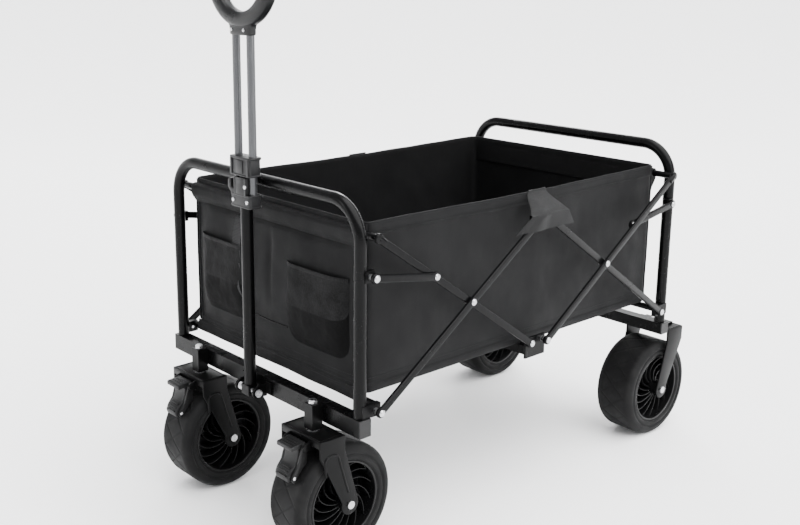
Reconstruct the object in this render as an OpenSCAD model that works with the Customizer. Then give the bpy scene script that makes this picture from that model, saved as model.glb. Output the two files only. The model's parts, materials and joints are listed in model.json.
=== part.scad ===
// Folding four-wheeled beach cart with a fabric basket, two swivel casters and a telescopic pull handle.
// X runs from the handle end (-X) to the rear (+X), Y across, Z up, and Z = 0 is the ground.

/* [Frame] */
// Distance between the front and the rear frame when the cart is open
frame_length = 780; // [776:2:790]
// Width between the centres of the two posts of one frame
frame_width = 490; // [484:2:500]
// Height of the lower end of the posts above the ground
post_foot = 235; // [230:1:240]
// Height of the centre of the frames' top bar
arch_top = 585; // [575:5:600]
// Outer diameter of the frame tube
tube_d = 20; // [18:1:20]
// Wall of the frame tube
tube_wall = 1.2; // [1:0.1:2]
// Radius of the two upper bends, at the tube's centre
bend_r = 60; // [45:5:70]
// Height of the cross beams
beam_h = 28; // [24:1:30]
// Depth of the cross beams
beam_d = 22; // [20:1:22]
// Wall of the cross beams
beam_wall = 1.6; // [1.2:0.1:2.5]

/* [Scissor] */
// Arm length from an outer pivot to the crossing rivet
arm_outer = 236; // [232:1:238]
// Arm length from the crossing rivet to the centre pivot
arm_inner = 190; // [186:1:192]
// Angle of the arms above the horizontal when open
open_angle = 34.5; // [34:0.1:35]
// Angle of the arms above the horizontal when folded
folded_angle = 80; // [76:1:80]
// Distance of the lower pivots behind their post
pivot_reach = 22; // [22:1:23]
// Height of the lower pivots above the posts' lower end
pivot_rise = 32; // [30:1:34]
// Height of the struts' pivot above the lower pivot
strut_rise = 211; // [205:1:215]
// Distance from the lower pivot's line to the struts' pivot
strut_back = 12; // [11:1:13]
// Width of the flat arms
arm_w = 12; // [11:1:13]
// Thickness of the flat arms
arm_t = 6.5; // [6:0.1:6.6]

/* [Basket] */
// Half of the basket's width
basket_half_w = 229; // [225:1:229]
// Height of the basket's rim above the posts' lower end
rim_rise = 317; // [310:1:318]
// Height of the basket's underside above the posts' lower end
floor_rise = 48; // [47:1:50]
// Thickness of the basket's walls
wall_t = 4; // [3:0.5:5]
// Thickness of the padded floor
floor_t = 8; // [6:1:10]
// Width of one front pocket
pocket_w = 144; // [120:2:146]
// Height of one front pocket
pocket_h = 132; // [110:2:136]

/* [Wheels] */
// Outer radius of the tyres
wheel_r = 96; // [92:1:97]
// Width of the tyres
wheel_w = 80; // [74:1:80]
// Radius of the tyre's shoulder
shoulder_r = 13; // [10:1:14]
// Radius of the rim's seat for the tyre
rim_r = 67; // [64:1:68]
// Number of curved vanes in a rim
vane_count = 14; // [10:1:16]
// Radius of the wheel axle
axle_r = 5; // [4:0.5:6]
// Distance from the swivel axis to the axle
caster_trail = 35; // [30:1:36]
// Distance between the front casters' swivel axes
front_track = 320; // [316:2:330]
// Distance between the rear wheels' centres
rear_track = 410; // [400:2:410]
// Width of the fork's crown
fork_w = 98; // [97:1:100]
// Length of the fork's crown
fork_len = 50; // [46:1:52]
// Thickness of the fork's plate
fork_t = 4; // [3:0.5:4]

/* [Handle] */
// Height of the neck's lower face, with the handle drawn out
neck_base = 814; // [806:2:820]
// Mean radius of the ring grip
ring_r = 73; // [70:1:74]
// Radius of the ring grip's section
grip_r = 13; // [12:0.5:13.5]
// Radius of the two sliding rods
rod_r = 6.5; // [6:0.1:6.6]
// Distance from the mast's centre to a rod's centre
rod_offset = 19; // [18.5:0.5:20]
// Radius of the mast
mast_r = 10; // [9:0.5:10]
// Height of the rods' carriage above the lower end of the mast
carriage_rise = 300; // [285:5:302]

/* [Hidden] */
$fn = 48;
eps = 0.5;

// Reach of the brakes in front of the frame and of the wheels behind it, balanced about X = 0
brake_front = 86.6;
crown_back = 46;
rear_trail_x = crown_back - caster_trail;
half_total = (frame_length + brake_front + rear_trail_x + wheel_r) / 2;
front_x = brake_front - half_total;
rear_x = front_x + frame_length;
mid_x = (front_x + rear_x) / 2;
post_y = frame_width / 2;
tube_r = tube_d / 2;
beam_top = post_foot + beam_h - 5;
beam_half = post_y + tube_r + 1;

// Layers of the side linkage, outwards from the posts
bracket_y = post_y + 2;
inner_y = post_y + 12;
outer_y = inner_y + arm_t + 0.5;
pin_r = 3;
pin_play = 0.06;
open_play = 0.4;
eye_r = 8;
head_r = 5.5;
head_h = 2.4;

// Pivots of the front half, as [x, z]
low_pivot = [front_x + pivot_reach, post_foot + pivot_rise];
cross_pivot = low_pivot + arm_outer * [cos(open_angle), sin(open_angle)];
high_pivot = low_pivot + [0, 2 * arm_outer * sin(open_angle)];
arm_total = arm_outer + arm_inner;
centre_low = low_pivot + [arm_total * cos(open_angle), (arm_outer - arm_inner) * sin(open_angle)];
centre_high = low_pivot + arm_total * [cos(open_angle), sin(open_angle)];

// Strut reach that fits both the open and the folded cart
rise_gain = sin(folded_angle) - sin(open_angle);
reach_loss = cos(open_angle) - cos(folded_angle);
square_gain = pow(sin(folded_angle), 2) - pow(sin(open_angle), 2);
strut_u = (4 * arm_outer * arm_outer * square_gain + 4 * arm_outer * strut_back * reach_loss)
    / (4 * arm_outer * square_gain + 2 * strut_back * reach_loss - 2 * strut_rise * rise_gain);
strut_pivot = low_pivot + [-strut_back, strut_rise];
strut_end = low_pivot + [(2 * arm_outer - strut_u) * cos(open_angle), strut_u * sin(open_angle)];

// Basket
rim_z = post_foot + rim_rise;
floor_z = post_foot + floor_rise;
panel_x = low_pivot[0] + 7.5;
panel_t = 5;
panel_end = 2 * mid_x - panel_x;
pocket_t = 15.5;
pocket_wall = 2;
pocket_rise = 45;
pocket_inset = 54;
pocket_z = floor_z + pocket_rise;

// Casters and forks
swivel_x = front_x - 22;
front_axle_x = swivel_x + caster_trail;
rear_crown_x = rear_x + crown_back;
rear_axle_x = rear_crown_x - caster_trail;
crown_top = post_foot - 18;
rear_beam_h = 22;
rear_beam_top = crown_top + rear_beam_h;
flange_t = 5;
crown_drop = 12;
leg_eye_r = 17;
leg_waist = 26;
housing_w = 20;
kingpin_r = 6;
kingpin_play = 0.08;
axle_play = 0.08;
lever_w = 44;
lever_pivot = [-fork_len / 2 - 8, crown_top - 13];
lever_pin_r = 2.5;
lever_clear = 7;
lever_thick = 12;
ear_t = 4;

// Handle
mast_x = front_x - 26;
mast_base = post_foot + 9;
collar_base = post_foot + 360;
collar_h = 31;
collar_half_w = 27;
collar_half_d = 12.5;
carriage_base = mast_base + carriage_rise;
carriage_h = 22;
hinge = [mast_x - 4, post_foot + 1];
hinge_r = 4;
ear_y = 22;
ring_z = neck_base + 23 + ring_r;
spring_r = 6;
wire_r = 0.9;

// Draws its children at Y > 0 and mirrored at Y < 0
module both_sides() {
    children();
    mirror([0, 1, 0]) children();
}

// Mirrors its children from the front half to the rear half
module at_rear() {
    translate([2 * mid_x, 0, 0]) mirror([1, 0, 0]) children();
}

// Cylinder along Y between two planes, at p = [x, z]
module rod_y(p, y0, y1, r) {
    translate([p[0], y0, p[1]]) rotate([-90, 0, 0]) cylinder(r = r, h = y1 - y0);
}

// Solid outline of an inverted U frame at X = x0
module u_solid(x0, foot, r) {
    top = arch_top - bend_r;
    side = post_y - bend_r;
    both_sides() {
        translate([x0, post_y, foot]) cylinder(r = r, h = top - foot);
        translate([x0, side, top]) rotate([90, 0, 90]) rotate_extrude(angle = 90)
            translate([bend_r, 0]) circle(r = r);
    }
    rod_y([x0, arch_top], -side, side, r);
}

module u_frame(x0, foot) {
    difference() {
        u_solid(x0, foot, tube_r);
        u_solid(x0, foot, tube_r - tube_wall);
    }
}

module cross_beam(x0, top, h) {
    difference() {
        translate([x0 - beam_d / 2, -beam_half, top - h]) cube([beam_d, 2 * beam_half, h]);
        translate([x0 - beam_d / 2 + beam_wall, -beam_half - eps, top - h + beam_wall])
            cube([beam_d - 2 * beam_wall, 2 * (beam_half + eps), h - 2 * beam_wall]);
    }
}

// Plastic plugs in the ends of a cross beam
module end_caps(x0, top, h) {
    plug = beam_d - 2 * beam_wall - 0.2;
    plug_h = h - 2 * beam_wall - 0.2;
    both_sides() {
        translate([x0 - beam_d / 2, beam_half, top - h]) cube([beam_d, 2.5, h]);
        translate([x0 - plug / 2, beam_half - 12, top - h / 2 - plug_h / 2])
            cube([plug, 12, plug_h]);
    }
}

// Flat arm between two pivots, from plane y0, with a bore at each distance listed
module arm(p, q, y0, bores, bore_r) {
    span = norm(q - p);
    tilt = atan2(q[1] - p[1], q[0] - p[0]);
    translate([p[0], y0, p[1]]) rotate([0, -tilt, 0]) difference() {
        union() {
            translate([0, 0, -arm_w / 2]) cube([span, arm_t, arm_w]);
            for (x = [0, span]) rod_y([x, 0], 0, arm_t, eye_r);
        }
        for (x = bores) rod_y([x, 0], -eps, arm_t + eps, bore_r);
    }
}

// Bolt at p with its shank between two planes, a spacer up to seat and a head outside
module pivot_bolt(p, y0, seat, grip) {
    rod_y(p, y0, seat + grip, pin_r);
    rod_y(p, seat + grip, seat + grip + 1, head_r);
    translate([p[0], seat + grip + 1, p[1]]) rotate([-90, 0, 0])
        cylinder(r1 = head_r, r2 = head_r - 2, h = head_h - 1);
}

// Spacer sleeve between a bracket and an outer arm
module spacer(p, y0, y1) {
    rod_y(p, y0, y1, pin_r + 2);
}

// Lugs on one post for the lower pivot and for the strut
module pivot_brackets(x0) {
    both_sides() difference() {
        union() {
            translate([x0 - 4, bracket_y, beam_top])
                cube([pivot_reach + 14, 9, low_pivot[1] + 11 - beam_top]);
            translate([x0, bracket_y, strut_pivot[1] - 9]) cube([pivot_reach - strut_back + 9, 9, 18]);
        }
        translate([x0, post_y, post_foot - 1]) cylinder(r = tube_r, h = arch_top - post_foot - bend_r);
        rod_y(low_pivot, bracket_y - eps, bracket_y + 9 + eps, pin_r);
        rod_y(strut_pivot, bracket_y - eps, bracket_y + 9 + eps, pin_r);
    }
}

module front_frame_tube() {
    color("#17181a") u_frame(front_x, beam_top);
}

module rear_frame_tube() {
    color("#17181a") u_frame(rear_x, rear_beam_top);
}

module front_cross_beam() {
    color("#151618") cross_beam(front_x, beam_top, beam_h);
}

// The rear beam carries two flanges that the fixed forks are bolted under
module rear_cross_beam() {
    color("#151618") {
        cross_beam(rear_x, rear_beam_top, rear_beam_h);
        both_sides() difference() {
            translate([rear_x + beam_d / 2 - 0.5, rear_track / 2 - 30, crown_top])
                cube([rear_crown_x - rear_x - beam_d / 2 + 18.5, 60, flange_t]);
            translate([rear_crown_x, rear_track / 2, crown_top - eps])
                cylinder(r = kingpin_r, h = flange_t + 2 * eps);
        }
    }
}

module front_end_caps() {
    color("#101112") end_caps(front_x, beam_top, beam_h);
}

module rear_end_caps() {
    color("#101112") end_caps(rear_x, rear_beam_top, rear_beam_h);
}

// Thin tube under the lower edge of an end panel, between the two lower lugs
module front_bottom_rail() {
    color("#17181a") difference() {
        rod_y(low_pivot + [6, 5], -bracket_y, bracket_y, 6);
        rod_y(low_pivot + [6, 5], -bracket_y - eps, bracket_y + eps, 4.8);
    }
}

module rear_bottom_rail() {
    at_rear() front_bottom_rail();
}

module front_pivot_brackets() {
    color("#1b1c1e") pivot_brackets(front_x);
}

module rear_pivot_brackets() {
    at_rear() front_pivot_brackets();
}

// Bolts of the lower arms and of the struts, in the front frame
module front_pivot_bolts() {
    color("silver") both_sides() {
        pivot_bolt(low_pivot, bracket_y + 1, outer_y, arm_t + 0.1);
        spacer(low_pivot, bracket_y + 9, outer_y - 0.2);
        pivot_bolt(strut_pivot, bracket_y + 5.5, outer_y, arm_t + 0.1);
        spacer(strut_pivot, bracket_y + 9, outer_y - 0.2);
    }
}

module rear_pivot_bolts() {
    color("silver") at_rear() both_sides() {
        pivot_bolt(low_pivot, bracket_y + 1, inner_y, arm_t + 0.1);
        pivot_bolt(strut_pivot, bracket_y + 5.5, inner_y, arm_t + 0.1);
    }
}

// Upright square tube that holds the swivel pin, welded to the front face of the beam
module swivel_housings() {
    color("#141517") both_sides() difference() {
        translate([front_x - beam_d / 2 - housing_w, front_track / 2 - housing_w / 2, crown_top + 2])
            cube([housing_w, housing_w, beam_top - crown_top]);
        translate([swivel_x, front_track / 2, crown_top]) cylinder(r = kingpin_r + kingpin_play, h = 60);
    }
}

// Two ears on the beam that hold the handle's hinge pin
module handle_bracket() {
    ear_len = front_x - beam_d / 2 - hinge[0] + 8;
    color("#18191b") both_sides() difference() {
        union() {
            translate([hinge[0], ear_y, hinge[1] - 9]) cube([ear_len - 8, ear_t, 20]);
            rod_y(hinge, ear_y, ear_y + ear_t, 9.5);
            translate([front_x - beam_d / 2 - 3, ear_y + ear_t, hinge[1] - 4]) cube([3, 14, 20]);
        }
        rod_y(hinge, ear_y - eps, ear_y + ear_t + eps, hinge_r);
    }
}

module handle_hinge_pin() {
    color("silver") {
        rod_y(hinge, -ear_y - ear_t - 1, ear_y + ear_t + 1, hinge_r);
        both_sides() rod_y(hinge, ear_y + ear_t + 1, ear_y + ear_t + 4, 6.5);
    }
}

module mast_tube() {
    foot_h = mast_base - hinge[1] + 9;
    color("#131416") {
        difference() {
            translate([mast_x, 0, mast_base])
                cylinder(r = mast_r, h = collar_base + collar_h - 3 - mast_base);
            translate([mast_x, 0, mast_base - eps])
                cylinder(r = mast_r - 1.5, h = collar_base + collar_h - mast_base);
        }
        difference() {
            translate([hinge[0] - 7, -mast_r, hinge[1] - 9]) cube([18, 2 * mast_r, foot_h]);
            rod_y(hinge, -mast_r - eps, mast_r + eps, hinge_r + pin_play);
        }
    }
}

// Collar fixed on top of the mast, which guides the two rods
module mast_collar() {
    color("#1c1d1f") difference() {
        translate([mast_x - collar_half_d, -collar_half_w, collar_base])
            cube([2 * collar_half_d, 2 * collar_half_w + 4, collar_h]);
        translate([mast_x, 0, collar_base - eps]) cylinder(r = mast_r, h = collar_h - 3 + eps);
        both_sides() translate([mast_x, rod_offset, collar_base - eps])
            cylinder(r = rod_r + 0.1, h = collar_h + 2 * eps);
        rod_y([mast_x, collar_base + collar_h / 2], collar_half_w - 0.6, collar_half_w + 5, 5.1);
    }
}

// Return spring of the handle, drawn as its stack of turns
module hinge_spring() {
    color("silver") for (i = [0 : 4])
        translate([hinge[0], mast_r + 1.5 + i * 2.1, hinge[1]]) rotate([90, 0, 0])
            rotate_extrude() translate([spring_r, 0]) circle(r = wire_r, $fn = 20);
}

module collar_button() {
    color("#26272a") rod_y([mast_x, collar_base + collar_h / 2], collar_half_w + 2.8, collar_half_w + 8, 5);
}

module handle_rods() {
    color("#4a4c50") both_sides() difference() {
        translate([mast_x, rod_offset, carriage_base + 3])
            cylinder(r = rod_r, h = neck_base + 24 - carriage_base - 3);
        translate([mast_x, rod_offset, carriage_base + 3 - eps])
            cylinder(r = rod_r - 1.2, h = neck_base + 26 - carriage_base);
    }
}

// Block on the rods' lower ends that runs on the mast
module rod_carriage() {
    color("#1c1d1f") difference() {
        union() {
            translate([mast_x - collar_half_d, -collar_half_w, carriage_base])
                cube([2 * collar_half_d, 2 * collar_half_w, carriage_h]);
            translate([mast_x - collar_half_d, -8, carriage_base])
                cube([2, 16, collar_base - carriage_base - 2]);
        }
        translate([mast_x, 0, carriage_base - eps]) cylinder(r = mast_r + 0.3, h = carriage_h + 2 * eps);
        both_sides() translate([mast_x, rod_offset, carriage_base + 3]) cylinder(r = rod_r, h = carriage_h);
    }
}

// Ring grip with its neck over the rods' upper ends
module grip_ring() {
    color("#131416") difference() {
        union() {
            translate([mast_x, 0, ring_z]) rotate([0, 90, 0]) rotate_extrude()
                translate([ring_r, 0]) circle(r = grip_r);
            translate([mast_x - 9.5, -collar_half_w, neck_base]) cube([19, 2 * collar_half_w, 28]);
        }
        both_sides() translate([mast_x, rod_offset, neck_base - eps]) cylinder(r = rod_r, h = 24 + eps);
    }
}

// Screws in the faces of the neck and the carriage
module handle_screws() {
    color("silver") {
        both_sides() {
            translate([mast_x - 9.5, 17, neck_base + 6]) rotate([0, -90, 0]) cylinder(r = 3, h = 1.2);
            translate([mast_x - collar_half_d, 19, carriage_base + 11]) rotate([0, -90, 0])
                cylinder(r = 3.2, h = 1.4);
        }
    }
}

// Side view of one fork leg, from the crown down to the axle at [ax, az]
function leg_outline(ax, az, steps = 16) = concat(
    [[-fork_len / 2, crown_top], [fork_len / 2, crown_top], [fork_len / 2, crown_top - leg_waist]],
    [for (i = [0 : steps]) let (a = 20 - i * 220 / steps) [ax + leg_eye_r * cos(a), az + leg_eye_r * sin(a)]],
    [[-fork_len / 2, crown_top - leg_waist]]
);

// Fork in its own frame: swivel axis at the origin, axle at +caster_trail
module fork() {
    difference() {
        union() {
            both_sides() translate([0, fork_w / 2, 0]) rotate([90, 0, 0])
                linear_extrude(fork_t) polygon(leg_outline(caster_trail, wheel_r));
            translate([-fork_len / 2, -fork_w / 2 + fork_t / 2, crown_top - fork_t])
                cube([fork_len, fork_w - fork_t, fork_t]);
            translate([-fork_len / 2, -fork_w / 2 + fork_t / 2, crown_top - crown_drop])
                cube([3, fork_w - fork_t, crown_drop]);
        }
        translate([0, 0, crown_top - fork_t - eps]) cylinder(r = kingpin_r, h = fork_t + 2 * eps);
        rod_y([caster_trail, wheel_r], -fork_w, fork_w, axle_r);
    }
}

// Ears and pin for the brake lever, on the front of a swivel fork
module brake_ears() {
    both_sides() translate([lever_pivot[0] - 5, lever_w / 2 + 0.4, lever_pivot[1] - 6])
        cube([-fork_len / 2 - lever_pivot[0] + 5, ear_t, 12]);
    rod_y(lever_pivot, -lever_w / 2 - 1, lever_w / 2 + 1, lever_pin_r);
}

module at_caster(side) {
    translate([swivel_x, side * front_track / 2, 0]) children();
}

// The rear forks are the same forks turned to face forwards
module at_rear_fork(side) {
    translate([rear_crown_x, side * rear_track / 2, 0]) mirror([1, 0, 0]) children();
}

module swivel_fork(side) {
    color("#141517") at_caster(side) {
        fork();
        brake_ears();
    }
}

module left_fork() {
    swivel_fork(1);
}

module right_fork() {
    swivel_fork(-1);
}

module rear_left_fork() {
    color("#141517") at_rear_fork(1) fork();
}

module rear_right_fork() {
    color("#141517") at_rear_fork(-1) fork();
}

// Swivel pin, riveted in the crown, with a thrust washer and a nut above the housing
module kingpin(side) {
    color("#8d9094") at_caster(side) {
        translate([0, 0, crown_top - fork_t - 2])
            cylinder(r = kingpin_r, h = beam_top + 10 - crown_top + fork_t);
        translate([0, 0, crown_top]) cylinder(r = 11, h = 1.7);
        translate([0, 0, crown_top - fork_t - 5]) cylinder(r = 9, h = 5);
        translate([0, 0, beam_top + 2.4]) cylinder(r = 7.5, h = 4, $fn = 6);
    }
}

module left_kingpin() {
    kingpin(1);
}

module right_kingpin() {
    kingpin(-1);
}

// Bolts that hold the fixed rear forks under the beam's flanges
module rear_fork_bolts() {
    color("silver") for (side = [-1, 1]) at_rear_fork(side) {
        translate([0, 0, crown_top - fork_t - 5]) cylinder(r = 9, h = 5);
        translate([0, 0, crown_top - fork_t - 1]) cylinder(r = kingpin_r, h = fork_t + flange_t + 6);
        translate([0, 0, crown_top + flange_t]) cylinder(r = 8.5, h = 4, $fn = 6);
    }
}

// Axle bolt with a domed head and a nut outside the fork legs
module axle_bolt() {
    p = [caster_trail, wheel_r];
    rod_y(p, -fork_w / 2, fork_w / 2, axle_r);
    rod_y(p, -fork_w / 2 - 3, -fork_w / 2, 6.5);
    rod_y(p, fork_w / 2, fork_w / 2 + 3, 6.5);
}

module left_axle() {
    color("silver") at_caster(1) axle_bolt();
}

module right_axle() {
    color("silver") at_caster(-1) axle_bolt();
}

module rear_axles() {
    color("silver") for (side = [-1, 1]) at_rear_fork(side) axle_bolt();
}

// Points on a circle about the axle, as seen from the side of a swivel fork
function around_axle(r, a) = [caster_trail - r * cos(a), wheel_r + r * sin(a)];

// Lever with a foot tab on top and a shoe that lies in front of the tyre
module brake_lever(side) {
    inner = wheel_r + lever_clear;
    outline = concat(
        [for (a = [30 : 2 : 52]) around_axle(inner, a)],
        [lever_pivot + [6, -2], lever_pivot + [6, 6], lever_pivot + [-22, 4], lever_pivot + [-24, -4]],
        [for (a = [52 : -2 : 30]) around_axle(inner + lever_thick, a)]
    );
    color("#1e1f21") at_caster(side) difference() {
        translate([0, lever_w / 2, 0]) rotate([90, 0, 0]) linear_extrude(lever_w) polygon(outline);
        rod_y(lever_pivot, -lever_w, lever_w, lever_pin_r + pin_play);
    }
}

module left_brake_lever() {
    brake_lever(1);
}

module right_brake_lever() {
    brake_lever(-1);
}

// Half section of the tyre: rounded shoulders, straight side walls, open towards the rim
function shoulder(r, side, steps = 5) = [for (i = [0 : steps]) let (a = i * 90 / steps)
    [wheel_r - shoulder_r + r * sin(a), side * (wheel_w / 2 - shoulder_r + r * cos(a))]];

function flip(list) = [for (i = [len(list) - 1 : -1 : 0]) list[i]];

module tyre() {
    wall = 7;
    outer = concat([[rim_r, wheel_w / 2 - 1.5]], shoulder(shoulder_r, 1), flip(shoulder(shoulder_r, -1)),
        [[rim_r, 1.5 - wheel_w / 2]]);
    inner = concat([[rim_r, wall - wheel_w / 2]], shoulder(shoulder_r - wall, -1),
        flip(shoulder(shoulder_r - wall, 1)), [[rim_r, wheel_w / 2 - wall]]);
    color("#1b1c1e") rotate([90, 0, 0]) rotate_extrude($fn = 96) polygon(concat(outer, inner));
}

// One thin curved vane between hub and barrel
module vane() {
    intersection() {
        translate([20, 34]) difference() {
            circle(r = 36);
            circle(r = 34);
        }
        translate([0, -20]) square([80, 60]);
        difference() {
            circle(r = rim_r - 4);
            circle(r = 15);
        }
    }
}

// Rim: barrel with lips, a web at half width, a long hub and curved vanes on both sides
module rim() {
    hub = fork_w / 2 - fork_t - 0.4;
    lip = wheel_w / 2 - 3;
    color("#121314") rotate([90, 0, 0]) difference() {
        union() {
            difference() {
                translate([0, 0, -lip]) cylinder(r = rim_r - 0.05, h = 2 * lip, $fn = 96);
                translate([0, 0, -lip - eps]) cylinder(r = rim_r - 5, h = 2 * (lip + eps), $fn = 96);
            }
            translate([0, 0, -1.5]) cylinder(r = rim_r - 3, h = 3);
            translate([0, 0, -hub]) cylinder(r = 16, h = 2 * hub);
            for (i = [0 : vane_count - 1]) rotate(i * 360 / vane_count)
                translate([0, 0, 6 - lip]) linear_extrude(2 * (lip - 6)) vane();
        }
        translate([0, 0, -hub - eps]) cylinder(r = axle_r + axle_play, h = 2 * (hub + eps));
    }
}

module at_front_wheel(side) {
    translate([front_axle_x, side * front_track / 2, wheel_r]) children();
}

module at_rear_wheel(side) {
    translate([rear_axle_x, side * rear_track / 2, wheel_r]) children();
}

module front_left_tyre() {
    at_front_wheel(1) tyre();
}

module front_right_tyre() {
    at_front_wheel(-1) tyre();
}

module rear_left_tyre() {
    at_rear_wheel(1) tyre();
}

module rear_right_tyre() {
    at_rear_wheel(-1) tyre();
}

module front_left_rim() {
    at_front_wheel(1) rim();
}

module front_right_rim() {
    at_front_wheel(-1) rim();
}

module rear_left_rim() {
    at_rear_wheel(1) rim();
}

module rear_right_rim() {
    at_rear_wheel(-1) rim();
}

// Arms from the top corner down to the centre; the front pair lies inside the low arms
module front_high_arms() {
    color("#1a1b1d") both_sides()
        arm(high_pivot, centre_low, inner_y, [arm_outer, arm_total], pin_r + pin_play);
}

module rear_high_arms() {
    color("#1a1b1d") at_rear() both_sides()
        arm(high_pivot, centre_low, outer_y, [arm_outer, arm_total], pin_r + pin_play);
}

// Arms from the lower pivot up to the centre
module front_low_arms() {
    color("#1a1b1d") both_sides()
        arm(low_pivot, centre_high, outer_y, [0, arm_outer, arm_total], pin_r + pin_play);
}

module rear_low_arms() {
    color("#1a1b1d") at_rear() both_sides() difference() {
        arm(low_pivot, centre_high, inner_y, [0, arm_outer, arm_total], pin_r + pin_play);
        rod_y(centre_high, inner_y - eps, inner_y + arm_t + eps, pin_r + open_play);
    }
}

// Tube across the basket's upper edge, between the two high arms
module top_tube(end_y) {
    difference() {
        rod_y(high_pivot, -end_y, end_y, 6);
        rod_y(high_pivot, -end_y - eps, end_y + eps, 4.8);
    }
}

module front_top_tube() {
    color("#1a1b1d") top_tube(inner_y);
}

module rear_top_tube() {
    color("#1a1b1d") at_rear() top_tube(outer_y);
}

// Rivet through both arms at their crossing
module cross_rivets() {
    both_sides() {
        pivot_bolt(cross_pivot, inner_y - 0.6, outer_y, arm_t + 0.1);
        rod_y(cross_pivot, inner_y - 2.4, inner_y - 0.6, head_r);
    }
}

module front_arm_rivets() {
    color("silver") cross_rivets();
}

module rear_arm_rivets() {
    color("silver") at_rear() cross_rivets();
}

// Box tube under the middle of the floor, with an ear at each end for the high arms' lower pivots
module centre_cross_tube() {
    ear_w = centre_low[1] + 8 - (floor_z - 18);
    color("#17181a") {
        difference() {
            translate([mid_x - 11, -bracket_y - 5, floor_z - 18]) cube([22, 2 * (bracket_y + 5), 16]);
            translate([mid_x - 9.4, -bracket_y - 6, floor_z - 16.4]) cube([18.8, 2 * (bracket_y + 6), 12.8]);
        }
        both_sides() difference() {
            translate([centre_low[0] - 8, bracket_y + 5, floor_z - 18])
                cube([2 * (mid_x - centre_low[0] + 8), 4, ear_w]);
            for (s = [-1, 1])
                rod_y([mid_x + s * (mid_x - centre_low[0]), centre_low[1]], bracket_y + 4, bracket_y + 10,
                    pin_r);
        }
    }
}

module centre_bolts() {
    far = [2 * mid_x - centre_low[0], centre_low[1]];
    color("silver") both_sides() {
        pivot_bolt(centre_low, bracket_y + 5, inner_y, arm_t + 0.1);
        pivot_bolt(far, bracket_y + 5, outer_y, arm_t + 0.1);
        spacer(far, bracket_y + 9, outer_y - 0.2);
    }
}

// Short plates with two studs that join the low arms' upper ends under the basket's flaps
module top_links() {
    far = [2 * mid_x - centre_high[0], centre_high[1]];
    color("#1b1c1e") both_sides() {
        translate([centre_high[0] - 7, bracket_y + 5, centre_high[1] - 7])
            cube([far[0] - centre_high[0] + 14, 4, 14]);
        pivot_bolt(centre_high, bracket_y + 9, outer_y, arm_t + 0.1);
        spacer(centre_high, bracket_y + 9, outer_y - 0.2);
        pivot_bolt(far, bracket_y + 9, inner_y, arm_t + 0.1);
    }
}

// Short struts from the posts to the high arms; the far end is riveted over the arm
module front_struts() {
    color("#1a1b1d") both_sides() {
        arm(strut_pivot, strut_end, outer_y, [0], pin_r + pin_play);
        rod_y(strut_end, outer_y + arm_t, outer_y + arm_t + 2, head_r);
    }
}

module rear_struts() {
    color("#1a1b1d") at_rear() both_sides() {
        arm(strut_pivot, strut_end, inner_y, [0], pin_r + pin_play);
        rod_y(strut_end, inner_y - 2, inner_y, head_r);
    }
}

module front_panel() {
    color("#232426") translate([panel_x, -basket_half_w, floor_z])
        cube([panel_t, 2 * basket_half_w, rim_z - floor_z]);
}

// Two open-topped pockets sewn on the outside of the front panel
module pockets() {
    color("#1d1e20") both_sides() difference() {
        translate([panel_x - pocket_t, pocket_inset, pocket_z]) cube([pocket_t, pocket_w, pocket_h]);
        translate([panel_x - pocket_t + pocket_wall, pocket_inset + pocket_wall, pocket_z + pocket_wall])
            cube([pocket_t - 2 * pocket_wall, pocket_w - 2 * pocket_wall, pocket_h]);
    }
}

// Side walls and rear wall of the basket, open at the top
module basket_walls() {
    start = panel_x + panel_t;
    color("#222325") difference() {
        translate([start, -basket_half_w, floor_z])
            cube([panel_end - start, 2 * basket_half_w, rim_z - floor_z]);
        translate([start - eps, -basket_half_w + wall_t, floor_z - eps])
            cube([panel_end - wall_t - start + eps, 2 * (basket_half_w - wall_t), rim_z - floor_z + 2 * eps]);
    }
}

module basket_floor() {
    start = panel_x + panel_t;
    color("#1c1d1f") translate([start, -basket_half_w + wall_t, floor_z])
        cube([panel_end - wall_t - start, 2 * (basket_half_w - wall_t), floor_t]);
}

front_frame_tube();
front_cross_beam();
front_end_caps();
front_bottom_rail();
front_pivot_brackets();
front_pivot_bolts();
swivel_housings();
handle_bracket();
handle_hinge_pin();
mast_tube();
mast_collar();
hinge_spring();
collar_button();
handle_rods();
rod_carriage();
grip_ring();
handle_screws();
left_fork();
right_fork();
left_kingpin();
right_kingpin();
left_axle();
right_axle();
left_brake_lever();
right_brake_lever();
front_left_tyre();
front_right_tyre();
rear_left_tyre();
rear_right_tyre();
front_left_rim();
front_right_rim();
rear_left_rim();
rear_right_rim();
rear_frame_tube();
rear_cross_beam();
rear_end_caps();
rear_bottom_rail();
rear_pivot_brackets();
rear_pivot_bolts();
rear_left_fork();
rear_right_fork();
rear_fork_bolts();
rear_axles();
front_high_arms();
front_low_arms();
rear_high_arms();
rear_low_arms();
front_top_tube();
rear_top_tube();
front_arm_rivets();
rear_arm_rivets();
centre_cross_tube();
centre_bolts();
top_links();
front_struts();
rear_struts();
front_panel();
pockets();
basket_walls();
basket_floor();
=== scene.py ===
"""Folding beach cart: the finished looks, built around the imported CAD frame."""

import json
import math

import bmesh
import bpy
from mathutils import Matrix, Vector, noise


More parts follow.
